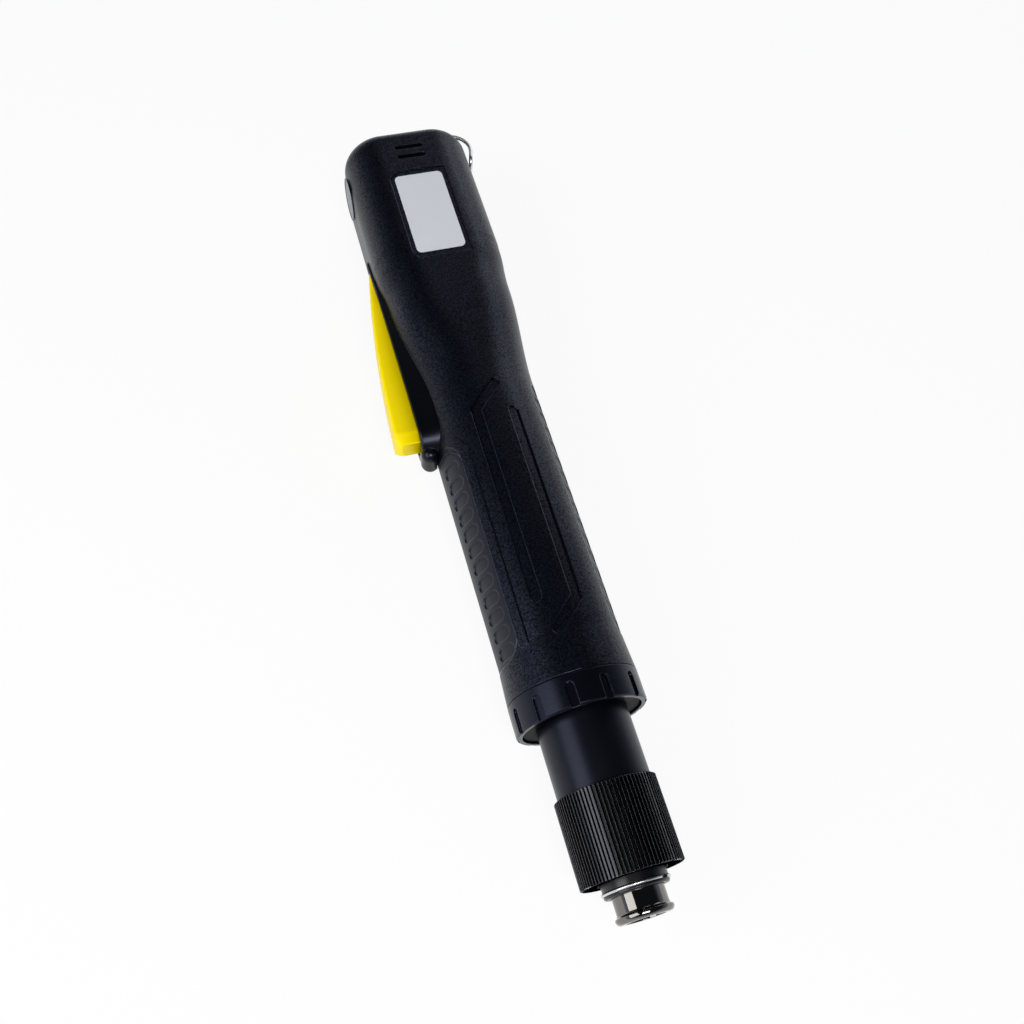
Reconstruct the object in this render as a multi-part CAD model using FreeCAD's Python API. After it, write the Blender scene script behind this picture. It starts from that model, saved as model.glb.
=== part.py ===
import FreeCAD, Part
import math
import os

# Electric torque screwdriver, in millimetres.
# The tool lies on its rear face. Its axis is Y, the bit points to -Y and the label faces +Z.
# The lever is on the -X side. The origin is the centre of the bit socket's mouth.

Vector = FreeCAD.Vector
X_AXIS = Vector(1, 0, 0)
Y_AXIS = Vector(0, 1, 0)
Z_AXIS = Vector(0, 0, 1)
FAR = 60.0

# Clearances
RUNNING_GAP = 0.06
LOOSE_GAP = 0.2
SEAT_GAP = 0.05
BODY_GAP = 0.3
PARTING_GAP = 0.04

# Lengths that show along the tool, from the collar to the butt
COLLAR_OVERHANG = 0.9
COLLAR_SHOW = 7.2
SLEEVE_SHOW = 3.4
NUT_LENGTH = 25.2
TUBE_SHOW = 20.4
RING_WIDTH = 9.7
HANDLE_LENGTH = 213.1

# Radii that show on the nose
COLLAR_FLANGE_RADIUS = 8.4
COLLAR_NECK_RADIUS = 7.55
COLLAR_FLANGE = 2.2
SLEEVE_RADIUS = 9.5
NUT_RADIUS = 15.15
TUBE_RADIUS = 13.85
RING_RADIUS = 20.0

# Bit holder and its release collar
BIT_BORE_RADIUS = 2.55
BIT_BORE_DEPTH = 7.5
BIT_RELIEF = 0.3
BIT_SOCKET_DEPTH = 19.1
HALF_MOON_START = 12.1
SPINDLE_RADIUS = 4.6
SHANK_RADIUS = 5.0
COLLAR_TRAVEL = 3.0
COLLAR_LENGTH = 11.0
LOCK_BALL_RADIUS = 1.25
LOCK_BALL_PLACE = 9.1
SNAP_RING_THICKNESS = 0.8
SNAP_RING_PLACE = 1.1
SNAP_RING_GROOVE = 4.1
SNAP_RING_OUTER = 5.4
COLLAR_SPRING_RADIUS = 5.7
COLLAR_SPRING_WIRE = 0.5
SLEEVE_DEPTH = 11.3
SLEEVE_WALL = 2.0
CLIP_RADIUS = 0.45
CLIP_PLACE = 1.4

# Torque nut and clutch
NUT_TRAVEL = 4.5
NUT_SHOULDER = 8.4
NUT_BORE_RADIUS = 10.1
NUT_THREAD_LENGTH = 12.0
NUT_THREAD_RADIUS = 13.1
THREAD_GAP = 0.1
KNURL_TEETH = 80
KNURL_DEPTH = 0.5
TUBE_BORE_RADIUS = 11.0
SEAT_DISC = 2.0
SEAT_PILOT = 2.5
SEAT_OVERHANG = 0.2
CLUTCH_SPRING_RADIUS = 8.9
CLUTCH_WIRE = 2.4
CLUTCH_SPRING_LENGTH = 22.0
CLUTCH_TURNS = 4.5
COIL_STATIONS = 16
COIL_SIDES = 8
CAM_RADIUS = 10.3
CAM_THICKNESS = 4.0
CAM_GAP = 1.8
CLUTCH_BALL_RADIUS = 1.5
CLUTCH_BALL_CIRCLE = 7.6
CLUTCH_BALLS = 6
PILOT_RADIUS = 3.0

# Output bearing
SHAFT_RADIUS = 4.0
BEARING_RADIUS = 9.5
BEARING_WIDTH = 6.0
BEARING_BALL_RADIUS = 1.7
BEARING_BALLS = 8
BEARING_RACE = 1.6
BEARING_LIP = 1.0

# Coupling between the clutch housing and the handle
FLANGE_FRONT = 1.6
FLANGE_REAR = 2.6
FLANGE_RECESS = 0.6
FLANGE_FRONT_RADIUS = 18.0
FLANGE_REAR_RADIUS = 18.6
FLANGE_SPIGOT = 3.4
RING_LIP_RADIUS = 18.3
RING_NOTCHES = 12
NOTCH_WIDTH = 2.7
NOTCH_LENGTH = 7.4
NOTCH_DEPTH = 0.7
NOTCH_TURN = 4.0

# Planetary gear
MODULE = 0.45
SUN_TEETH = 18
PLANET_TEETH = 21
RING_TEETH = 60
PLANETS = 3
BACKLASH = 0.14
GEAR_WIDTH = 7.0
RING_GEAR_LENGTH = 11.0
CARRIER_THICKNESS = 2.8
CARRIER_PIN_RADIUS = 1.25
CARRIER_RADIUS = 12.2
PRESSURE_ANGLE = 20.0

# Motor
MOTOR_RADIUS = 15.8
MOTOR_CAN_LENGTH = 55.5
MOTOR_WALL = 1.3
MOTOR_PLATE = 2.0
MOTOR_PILOT_RADIUS = 4.5
MOTOR_SHAFT_RADIUS = 1.5
MAGNET_THICKNESS = 2.2
MAGNET_LENGTH = 38.0
MAGNET_PLACE = 7.0
MAGNET_ANGLE = 120.0
ARMATURE_RADIUS = 11.6
ARMATURE_LENGTH = 34.0
ARMATURE_SLOTS = 8
COMMUTATOR_RADIUS = 4.0
END_BELL_LENGTH = 7.0

# Handle and head
WALL = 2.4
NOSE_RADIUS = 19.95
GRIP_RADIUS = 19.25
FLARE_LENGTH = 13.0
SWELL_START = 103.0
SWELL_LENGTH = 57.0
SWELL_LEDGE = 0.68
SWELL_SECTIONS = 12
HEAD_GROWTH_X = 3.45
HEAD_GROWTH_Z = 0.75
HEAD_CORNER = 14.0
BUTT_ROUND = 7.0
HANDLE_BORE_RADIUS = 16.45
SPIGOT_RADIUS = 18.75
RIB_THICKNESS = 2.0
MOTOR_RIBS = (6.0, 29.0, 50.0)

# Start lever and its bezel: lengths from the handle's front edge, heights from the grip's surface
BEZEL_END = 83.4
BEZEL_TIP = 171.1
BEZEL_RISE = 4.35
BEZEL_SINK = 6.05
BEZEL_HALF = 8.0
BEZEL_FLARE = 2.3
LEVER_END = 91.1
LEVER_TIP = 166.8
LEVER_HALF = 6.3
LEVER_GAP = 0.4
LEVER_END_GAP = 1.2
LEVER_BEVEL = 2.8
LEVER_RISE = 11.9
LEVER_TIP_RISE = 4.75
LEVER_BOW = 1.45
LEVER_WALL = 1.8
PIVOT_PLACE = 157.6
PIVOT_SINK = 1.25
LEVER_PIN_RADIUS = 1.5
LEVER_PIN_LENGTH = 25.0
LEVER_EAR_RADIUS = 3.0
LEVER_EAR_HALF = 1.25
LEVER_SPRING_PLACE = 124.0
LEVER_SPRING_RADIUS = 2.6
LEVER_SPRING_WIRE = 0.7
LEVER_SPRING_RISE = 2.75
HEEL_RADIUS = 3.0
HEEL_RISE = 1.95
HEEL_HALF = 2.6

# Start switch
SWITCH_PLACE = 146.0
SWITCH_LENGTH = 12.8
SWITCH_WIDTH = 5.8
SWITCH_HEIGHT = 6.5
SWITCH_SINK = 2.85
PLUNGER_RADIUS = 0.9
PLUNGER_SHOW = 1.2
PLUNGER_GAP = 0.15
HOLDER_THICKNESS = 1.6
HOLDER_HALF = 13.6
PIVOT_BOSS_START = 6.0

# Grip pads and styling
PAD_THICKNESS = 1.2
PAD_START = 10.4
FRONT_PAD_END = 81.8
BACK_PAD_END = 102.0
PAD_HALF_ANGLE = 43.0
BACK_PAD_HALF_ANGLE = 36.0
PAD_ROUND = 6.0
DIMPLE_WIDTH = 8.4
DIMPLE_HEIGHT = 4.06
DIMPLE_PITCH = 5.66
DIMPLE_DEPTH = 0.35
DIMPLE_ANGLE = 64.5
DIMPLE_START = 13.6
FRONT_DIMPLES = 12
BACK_DIMPLES = 16
GROOVE_WIDTH = 3.4
GROOVE_DEPTH = 0.6
GROOVE_ANGLE = 17.7
GROOVE_START = 24.8
GROOVE_LENGTH = 65.3
GROOVE_ARM_REACH = 8.4
GROOVE_ARM_ANGLE = 5.0
GROOVE_CENTRE = 56.1
BEAD_HEIGHT = 0.45
BEAD_ANGLE = 41.0
BEAD_START = 13.4
BEAD_TURN_PLACE = 76.6
BEAD_TURN_RADIUS = 9.0
BEAD_TURN = 72.0

# Head details, measured from the butt
LABEL_PLACE = 41.6
LABEL_LENGTH = 34.8
LABEL_WIDTH = 17.0
LABEL_THICKNESS = 0.25
LABEL_ROUND = 1.8
RECESS_LENGTH = 39.2
RECESS_WIDTH = 20.2
RECESS_DEPTH = 0.5
RECESS_BEVEL = 3.1
SLOT_PLACES = (11.0, 15.5)
SLOT_LENGTH = 10.4
SLOT_WIDTH = 1.9
BADGE_PLACE = 13.8
BADGE_Z = 1.0
BADGE_RADIUS = 6.5
BADGE_THICKNESS = 0.6
BADGE_LIP = 0.4
BADGE_SINK = 0.3
SOCKET_RADIUS = 8.0
SOCKET_FLANGE_RADIUS = 9.6
SOCKET_FLANGE = 1.6
SOCKET_BORE_RADIUS = 6.2
SOCKET_DEPTH = 10.5
SOCKET_LENGTH = 16.0
SOCKET_PINS = 6
SOCKET_PIN_RADIUS = 0.5
SOCKET_PIN_CIRCLE = 3.6
SOCKET_PIN_SHOW = 5.0
BAIL_WIRE = 0.9
BAIL_X = 17.5
BAIL_RISE = 2.0
BAIL_HALF_WIDTH = 8.9
BAIL_DROP = 15.6
BAIL_BEND_X = 28.2
BAIL_BEND_RISE = 1.3
BAIL_END_X = 23.9
BAIL_BOW = 7.0
BAIL_CORNER = 3.0
BAIL_EAR_RADIUS = 2.0
BAIL_EAR_THICKNESS = 2.4
BAIL_GAP = 0.15

# Screws, board and direction switch
SCREW_RADIUS = 1.5
SCREW_HEAD_RADIUS = 2.8
SCREW_HEAD = 2.0
SCREW_SINK = 3.0
SCREW_REACH = 6.0
BOSS_RADIUS = 3.4
SCREW_PLACES = ((-15.2, 11.0), (15.2, 11.0), (-14.5, 37.0), (15.2, 44.0), (14.6, 88.0))
BOARD_START = 98.0
BOARD_INSET = 21.1
BOARD_THICKNESS = 1.6
BOARD_LEFT = -7.4
BOARD_RIGHT = 10.6
BOARD_TOP = -8.0
DIRECTION_PLACE = 34.0
DIRECTION_TRAVEL = 2.5
KNOB_LENGTH = 5.0
KNOB_WIDTH = 4.0
KNOB_RECESS = 1.2
STEM_HALF = 1.3
STEM_DEPTH = 1.4

# Places worked out from the sizes above
COLLAR_START = -COLLAR_OVERHANG
SLEEVE_START = COLLAR_START + COLLAR_SHOW
NUT_START = SLEEVE_START + SLEEVE_SHOW
TUBE_START = NUT_START + NUT_LENGTH
RING_START = TUBE_START + TUBE_SHOW
HANDLE_START = RING_START + RING_WIDTH
BUTT = HANDLE_START + HANDLE_LENGTH
SEAT_START = NUT_START + NUT_SHOULDER
SEAT_FACE = SEAT_START + SEAT_DISC + SEAT_PILOT
TUBE_FRONT = SEAT_START + SEAT_DISC + NUT_TRAVEL + BODY_GAP
DRIVEN_START = SEAT_FACE + CLUTCH_SPRING_LENGTH
DRIVE_START = DRIVEN_START + CAM_THICKNESS + CAM_GAP
BEARING_START = DRIVE_START + CAM_THICKNESS + BODY_GAP + BEARING_LIP
BEARING_END = BEARING_START + BEARING_WIDTH
FLANGE_START = RING_START + FLANGE_RECESS
FLANGE_STEP = FLANGE_START + FLANGE_FRONT
FLANGE_END = FLANGE_STEP + FLANGE_REAR
SPIGOT_END = FLANGE_END + FLANGE_SPIGOT
CARRIER_START = BEARING_END + BODY_GAP
GEAR_START = CARRIER_START + CARRIER_THICKNESS + BODY_GAP
RING_GEAR_START = SPIGOT_END + SEAT_GAP
RING_GEAR_END = RING_GEAR_START + RING_GEAR_LENGTH
MOTOR_START = RING_GEAR_END + MOTOR_PLATE + SEAT_GAP
MOTOR_END = MOTOR_START + MOTOR_CAN_LENGTH
SUN_RADIUS = MODULE * SUN_TEETH / 2
PLANET_RADIUS = MODULE * PLANET_TEETH / 2
RING_PITCH_RADIUS = MODULE * RING_TEETH / 2
PLANET_CIRCLE = SUN_RADIUS + PLANET_RADIUS
RING_GEAR_RADIUS = HANDLE_BORE_RADIUS - 0.1
HEAD_HALF_X = GRIP_RADIUS + HEAD_GROWTH_X
HEAD_HALF_Z = GRIP_RADIUS + HEAD_GROWTH_Z
BEZEL_TOP = GRIP_RADIUS + BEZEL_RISE
BEZEL_BASE = GRIP_RADIUS - BEZEL_SINK
LEVER_HIGH = GRIP_RADIUS + LEVER_RISE
LEVER_TIP_HIGH = GRIP_RADIUS + LEVER_TIP_RISE
LEVER_SPRING_SEAT = -GRIP_RADIUS - LEVER_SPRING_RISE
HEEL_X = -GRIP_RADIUS - HEEL_RISE
PIVOT_X = -GRIP_RADIUS + PIVOT_SINK
PIVOT_Y = HANDLE_START + PIVOT_PLACE
SWITCH_FACE = -GRIP_RADIUS + SWITCH_SINK
SWITCH_Y = HANDLE_START + SWITCH_PLACE
LEVER_SPRING_Y = HANDLE_START + LEVER_SPRING_PLACE
HOLDER_FACE = SWITCH_FACE + SWITCH_HEIGHT
BAIL_Y = BUTT + BAIL_RISE
LABEL_Y = BUTT - LABEL_PLACE
BADGE_Y = BUTT - BADGE_PLACE
DIRECTION_Y = BUTT - DIRECTION_PLACE
BOARD_BASE = BOARD_TOP - BOARD_THICKNESS
BOARD_LENGTH = HANDLE_LENGTH - BOARD_START - BOARD_INSET
CLIP_Y = SLEEVE_START + CLIP_PLACE
COMMUTATOR_END = MOTOR_END - 1.5
BRUSH_Y = COMMUTATOR_END - 3.2


def bar(radius, y_low, y_high, x=0.0, z=0.0):
    """Round bar along the tool."""
    return Part.makeCylinder(radius, y_high - y_low, Vector(x, y_low, z), Y_AXIS)


def pin(radius, length, base, direction):
    """Round pin from base along a direction."""
    return Part.makeCylinder(radius, length, base, direction)


def block(x_span, y_span, z_span):
    """Box between the low and high value on each axis."""
    size = [span[1] - span[0] for span in (x_span, y_span, z_span)]
    return Part.makeBox(*size, Vector(x_span[0], y_span[0], z_span[0]))


def turned(profile):
    """Solid of revolution about the tool's axis from (y, radius) points."""
    points = [Vector(radius, y, 0) for y, radius in profile]
    wire = Part.makePolygon(points + points[:1])
    return Part.Face(wire).revolve(Vector(0, 0, 0), Y_AXIS, 360)


def tube(outer, inner, y_low, y_high):
    """Plain ring or tube about the tool's axis."""
    return turned([(y_low, inner), (y_low, outer), (y_high, outer), (y_high, inner)])


def round_slot(length, width, height):
    """Slot-shaped prism about the origin: long side on Y, height upwards from z = 0."""
    reach = (length - width) / 2
    half = width / 2
    left = Part.makeLine(Vector(-half, -reach, 0), Vector(-half, reach, 0))
    top = Part.Arc(Vector(-half, reach, 0), Vector(0, reach + half, 0), Vector(half, reach, 0))
    right = Part.makeLine(Vector(half, reach, 0), Vector(half, -reach, 0))
    low = Part.Arc(Vector(half, -reach, 0), Vector(0, -reach - half, 0), Vector(-half, -reach, 0))
    wire = Part.Wire([left, top.toShape(), right, low.toShape()])
    return Part.Face(wire).extrude(Vector(0, 0, height))


def on_side(shape, angle, y, turn=0.0):
    """Put a prism that stands on z = 0 on the tool's flank: angle from +Z towards +X."""
    placed = shape.copy()
    placed.rotate(Vector(0, 0, 0), Z_AXIS, turn)
    placed.rotate(Vector(0, 0, 0), Y_AXIS, angle)
    placed.translate(Vector(0, y, 0))
    return placed


def ring_of(shape, count):
    """Copies of a shape turned round the tool's axis."""
    copies = []
    for index in range(count):
        copy = shape.copy()
        copy.rotate(Vector(0, 0, 0), Y_AXIS, 360.0 * index / count)
        copies.append(copy)
    return copies


def fuse_all(shapes):
    """One shape from several."""
    return shapes[0].multiFuse(shapes[1:]) if len(shapes) > 1 else shapes[0]


def coil(radius, wire, length, turns):
    """Coil spring along +Z from z = 0, with flat ground ends."""
    stations = round(turns * COIL_STATIONS)
    sections = []
    for station in range(stations + 1):
        turn = 2 * math.pi * station / COIL_STATIONS
        outward = Vector(math.cos(turn), math.sin(turn), 0)
        middle = outward * radius + Z_AXIS * ((length + wire) * station / stations - wire / 2)
        points = []
        for side in range(COIL_SIDES):
            lean = 2 * math.pi * (side + 0.5) / COIL_SIDES
            points.append(middle + (outward * math.cos(lean) + Z_AXIS * math.sin(lean)) * (wire / 2))
        sections.append(Part.makePolygon(points + points[:1]))
    body = Part.makeLoft(sections, True, True)
    reach = radius + 2 * wire
    return body.common(Part.makeBox(2 * reach, 2 * reach, length, Vector(-reach, -reach, 0)))


def section(y, half_x, half_z, corner):
    """Closed outline of the handle across the axis: a rectangle with round corners."""
    flat_x = half_x - corner
    flat_z = half_z - corner
    edges = []
    start = Vector(flat_x, y, half_z)
    previous = start
    for index in range(4):
        first = 90.0 - 90.0 * index
        sign_x = 1 if index in (0, 1) else -1
        sign_z = 1 if index in (0, 3) else -1
        centre = Vector(sign_x * flat_x, y, sign_z * flat_z)
        points = []
        for angle in (first, first - 45.0, first - 90.0):
            turn = math.radians(angle)
            points.append(centre + Vector(math.cos(turn), 0, math.sin(turn)) * corner)
        if index:
            edges.append(Part.makeLine(previous, points[0]))
        edges.append(Part.Arc(*points).toShape())
        previous = points[2]
    edges.append(Part.makeLine(previous, start))
    return Part.Wire(edges)


def grip_section(y, radius):
    """Round section of the grip, with the same edges as the head's sections."""
    return section(y, radius, radius, radius - SEAT_GAP)


def swell_section(share, inset):
    """Section part of the way from the round grip to the head."""
    y = HANDLE_START + SWELL_START + SWELL_LENGTH * share
    grow = swell_law(share)
    half_x = GRIP_RADIUS + (HEAD_HALF_X - GRIP_RADIUS) * grow
    half_z = GRIP_RADIUS + (HEAD_HALF_Z - GRIP_RADIUS) * grow
    corner = GRIP_RADIUS - SEAT_GAP + (HEAD_CORNER - GRIP_RADIUS + SEAT_GAP) * grow
    return section(y, half_x - inset, half_z - inset, corner - inset)


def ease(share):
    """S-curve from 0 to 1."""
    share = min(max(share, 0.0), 1.0)
    return share * share * (3 - 2 * share)


def swell_law(share):
    """How far the section has grown: two S-curves with a soft ledge between them."""
    first = SWELL_LEDGE * ease(share / SWELL_LEDGE)
    return first + (1 - SWELL_LEDGE) * ease((share - SWELL_LEDGE) / (1 - SWELL_LEDGE))


def handle_form(inset, y_start, y_end):
    """Outer form of the closed handle, or the same form set in by a wall."""
    swell_start = HANDLE_START + SWELL_START
    swell_end = swell_start + SWELL_LENGTH
    grip_wires = [
        grip_section(y_start, NOSE_RADIUS - inset),
        grip_section(HANDLE_START + FLARE_LENGTH, GRIP_RADIUS - inset),
    ]
    flare = Part.makeLoft(grip_wires, True, True)
    grip = Part.makeLoft([grip_wires[1], swell_section(0, inset)], True, True)
    shares = [index / SWELL_SECTIONS for index in range(SWELL_SECTIONS + 1)]
    swell = Part.makeLoft([swell_section(share, inset) for share in shares], True, False)
    head_end = section(y_end, HEAD_HALF_X - inset, HEAD_HALF_Z - inset, HEAD_CORNER - inset)
    head = Part.makeLoft([swell_section(1, inset), head_end], True, True)
    rim = [edge for edge in head.Edges if edge.BoundBox.YMin > swell_end + 1]
    head = head.makeFillet(max(BUTT_ROUND - inset, 1.0), rim)
    return fuse_all([flare, grip, swell, head])


def leaf(x, end, tip, half):
    """Leaf-shaped outline of the lever's opening at one depth, its round end towards the bit."""
    low = Vector(x, end, 0)
    centre = end + half
    shoulder = 0.77 * (tip - centre) + centre
    side = Part.Arc(
        Vector(x, centre, half),
        Vector(x, (centre + shoulder) / 2, half * 0.85),
        Vector(x, shoulder, half * 0.51),
    )
    point = Part.Arc(
        Vector(x, shoulder, half * 0.51),
        Vector(x, (shoulder + tip) / 2, half * 0.27),
        Vector(x, tip, 0),
    )
    diagonal = half * math.sqrt(0.5)
    bottom = Part.Arc(low, Vector(x, centre - diagonal, diagonal), Vector(x, centre, half))
    edges = [bottom.toShape(), side.toShape(), point.toShape()]
    mirrored = [edge.mirror(Vector(0, 0, 0), Z_AXIS) for edge in edges]
    return Part.Wire(Part.__sortEdges__(edges + mirrored))


def leaf_prism(x_low, x_high, end, tip, half):
    """Leaf outline pushed through along X."""
    return Part.Face(leaf(x_low, end, tip, half)).extrude(Vector(x_high - x_low, 0, 0))


def bezel_form(grow):
    """Outside of the bezel: wide at the handle's wall, narrower at the lever."""
    end = HANDLE_START + BEZEL_END - grow
    tip = HANDLE_START + BEZEL_TIP + grow
    half = BEZEL_HALF + grow
    wide = leaf(-BEZEL_BASE, end, tip, half + BEZEL_FLARE)
    narrow = leaf(-BEZEL_TOP - grow, end + BEZEL_FLARE, tip - BEZEL_FLARE / 2, half)
    return Part.makeLoft([wide, narrow], True, True)


def lever_plan(side_gap, end_gap):
    """Plan of the lever with its bevelled low end, as a prism along X, or the slot round it."""
    end = HANDLE_START + LEVER_END - end_gap
    tip = HANDLE_START + LEVER_TIP + end_gap
    half = LEVER_HALF + side_gap
    face_half = half - LEVER_BEVEL
    corners = [(face_half, end), (half + LEVER_BEVEL, end + 2 * LEVER_BEVEL), (half + LEVER_BEVEL, tip)]
    mirrored = [(-z, y) for z, y in corners[::-1]]
    points = [Vector(-FAR, y, z) for z, y in corners + mirrored]
    outline = Part.Face(Part.makePolygon(points + points[:1])).extrude(Vector(FAR, 0, 0))
    return leaf_prism(-FAR, 0, end - half, tip, half).common(outline)


def lever_bezel():
    """Glossy surround of the lever, with its rounded heel at the lower end."""
    body = bezel_form(0.0)
    top = [edge for edge in body.Edges if edge.BoundBox.XMax < -BEZEL_TOP + 0.1]
    body = body.makeFillet(0.9, top)
    heel_y = HANDLE_START + LEVER_END - HEEL_RADIUS - 1.9
    heel = pin(HEEL_RADIUS, 2 * HEEL_HALF, Vector(HEEL_X, heel_y, -HEEL_HALF), Z_AXIS)
    for side in (-1, 1):
        heel = heel.fuse(Part.makeSphere(HEEL_RADIUS, Vector(HEEL_X, heel_y, side * HEEL_HALF)))
    heel = heel.cut(bar(GRIP_RADIUS + LOOSE_GAP, heel_y - FAR, heel_y + FAR))
    body = body.fuse(heel)
    ear_half = LEVER_EAR_HALF + BODY_GAP
    ear_reach = LEVER_EAR_RADIUS + BODY_GAP
    ear_room = block((HEEL_X, 0), (PIVOT_Y - ear_reach, PIVOT_Y + ear_reach), (-ear_half, ear_half))
    switch_reach = SWITCH_LENGTH / 2 + BODY_GAP
    switch_half = SWITCH_WIDTH / 2 + BODY_GAP
    switch_room = block(
        (SWITCH_FACE - PLUNGER_SHOW - BODY_GAP, 0),
        (SWITCH_Y - switch_reach, SWITCH_Y + switch_reach),
        (-switch_half, switch_half),
    )
    axis = pin(LEVER_PIN_RADIUS + SEAT_GAP, FAR, Vector(PIVOT_X, PIVOT_Y, -FAR / 2), Z_AXIS)
    return body.cut([lever_plan(LEVER_GAP, LEVER_END_GAP), ear_room, switch_room, axis])


def lever_side(inner):
    """Side view of the lever as a prism: a bowed back and a straight inside."""
    end = HANDLE_START + LEVER_END
    tip = HANDLE_START + LEVER_TIP
    middle_x = -(LEVER_HIGH + LEVER_TIP_HIGH) / 2 - LEVER_BOW
    corner = Vector(-LEVER_HIGH, end + 2.6, -FAR / 2)
    high = Vector(-LEVER_TIP_HIGH, tip - 3.6, -FAR / 2)
    points = [
        high,
        Vector(-LEVER_TIP_HIGH + 1.1, tip, -FAR / 2),
        Vector(inner, tip, -FAR / 2),
        Vector(inner, end, -FAR / 2),
        Vector(-LEVER_HIGH + 1.5, end, -FAR / 2),
        corner,
    ]
    edges = [Part.makeLine(a, b) for a, b in zip(points[:-1], points[1:])]
    middle = Vector(middle_x, (end + tip) / 2 - 1, -FAR / 2)
    edges.append(Part.Arc(corner, middle, high).toShape())
    return Part.Face(Part.Wire(edges)).extrude(Vector(0, 0, FAR))


def lever_hollow(inner):
    """Room inside the lever, its floor parallel to the lever's back."""
    low = HANDLE_START + LEVER_END
    high = PIVOT_Y - 12.0
    points = [
        Vector(inner + 1, low, -FAR / 2),
        Vector(-LEVER_HIGH + LEVER_WALL, low, -FAR / 2),
        Vector(-LEVER_TIP_HIGH - LEVER_WALL, high, -FAR / 2),
        Vector(inner + 1, high, -FAR / 2),
    ]
    side = Part.Face(Part.makePolygon(points + points[:1])).extrude(Vector(0, 0, FAR))
    return side.common(lever_plan(-LEVER_WALL, -2 * LEVER_WALL))


def lever():
    """Hollow start lever with its pivot ear, switch rib and spring boss."""
    inner = HEEL_X
    side = lever_side(inner)
    body = side.common(lever_plan(0.0, 0.0))
    crest = [edge for edge in body.Edges if is_crest(edge)]
    body = body.makeFillet(0.4, crest)
    body = body.cut(lever_hollow(inner))
    ear = pin(LEVER_EAR_RADIUS, 2 * LEVER_EAR_HALF, Vector(PIVOT_X, PIVOT_Y, -LEVER_EAR_HALF), Z_AXIS)
    neck = block(
        (inner - 0.5, PIVOT_X),
        (PIVOT_Y - LEVER_EAR_RADIUS, PIVOT_Y + LEVER_EAR_RADIUS),
        (-LEVER_EAR_HALF, LEVER_EAR_HALF),
    )
    rib_end = SWITCH_FACE - PLUNGER_SHOW - PLUNGER_GAP
    rib = block((inner - 0.5, rib_end), (SWITCH_Y - 1, SWITCH_Y + 1), (-1.3, 1.3))
    boss = pin(LEVER_SPRING_RADIUS + 1, FAR, Vector(LEVER_SPRING_SEAT - FAR, LEVER_SPRING_Y, 0), X_AXIS)
    body = fuse_all([body, ear, neck, rib, boss.common(side)])
    hole = pin(LEVER_PIN_RADIUS + RUNNING_GAP, FAR, Vector(PIVOT_X, PIVOT_Y, -FAR / 2), Z_AXIS)
    return body.cut(hole)


def is_crest(edge):
    """True for the long edges between the lever's bowed back and its sides."""
    box = edge.BoundBox
    return box.YLength > 15 and box.XMax < -BEZEL_TOP and abs(box.ZMax + box.ZMin) > 0.5


def lever_pin():
    """Steel pin of the lever."""
    start = Vector(PIVOT_X, PIVOT_Y, -LEVER_PIN_LENGTH / 2)
    return pin(LEVER_PIN_RADIUS, LEVER_PIN_LENGTH, start, Z_AXIS)


def lever_spring():
    """Return spring between the lever and the switch holder."""
    length = HOLDER_FACE - LEVER_SPRING_SEAT - 2 * SEAT_GAP
    spring = coil(LEVER_SPRING_RADIUS - LEVER_SPRING_WIRE / 2, LEVER_SPRING_WIRE, length, 5)
    spring.rotate(Vector(0, 0, 0), Y_AXIS, 90)
    spring.translate(Vector(LEVER_SPRING_SEAT + SEAT_GAP, LEVER_SPRING_Y, 0))
    return spring


def start_switch():
    """Microswitch body with the plunger's hole and two terminals."""
    reach = SWITCH_LENGTH / 2
    half = SWITCH_WIDTH / 2
    body = block(
        (SWITCH_FACE, HOLDER_FACE - SEAT_GAP),
        (SWITCH_Y - reach, SWITCH_Y + reach),
        (-half, half),
    )
    hole = pin(PLUNGER_RADIUS + RUNNING_GAP, 4.0, Vector(SWITCH_FACE, SWITCH_Y, 0), X_AXIS)
    return body.cut(hole)


def switch_plunger():
    """Button of the microswitch."""
    start = Vector(SWITCH_FACE - PLUNGER_SHOW, SWITCH_Y, 0)
    return pin(PLUNGER_RADIUS, PLUNGER_SHOW + 2.4, start, X_AXIS)


def switch_holder():
    """Plate that carries the microswitch and the lever's spring."""
    y_low = LEVER_SPRING_Y - 4.4
    y_high = SWITCH_Y + SWITCH_LENGTH / 2 + 2.6
    x_span = (HOLDER_FACE, HOLDER_FACE + HOLDER_THICKNESS)
    plate = block(x_span, (y_low, y_high), (-HOLDER_HALF, HOLDER_HALF))
    middle = Vector(HOLDER_FACE - 1, (LEVER_SPRING_Y + SWITCH_Y) / 2, 0)
    window = pin(2.0, HOLDER_THICKNESS + 2, middle, X_AXIS)
    return plate.cut(window)


def rounded_block(x_span, y_span, z_half, corner):
    """Prism along X with a rounded rectangle for its outline."""
    body = block(x_span, y_span, (-z_half, z_half))
    edges = [edge for edge in body.Edges if edge.BoundBox.XLength > 1]
    return body.makeFillet(corner, edges)


def pad_outline(side, grow):
    """Prism through one flank that bounds a grip pad; side -1 is the lever's side."""
    angle = PAD_HALF_ANGLE if side < 0 else BACK_PAD_HALF_ANGLE
    end = FRONT_PAD_END if side < 0 else BACK_PAD_END
    half = GRIP_RADIUS * math.sin(math.radians(angle)) + grow
    y_span = (HANDLE_START + PAD_START - grow, HANDLE_START + end + grow)
    x_span = (-FAR, 0) if side < 0 else (0, FAR)
    return rounded_block(x_span, y_span, half, PAD_ROUND + grow)


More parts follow.
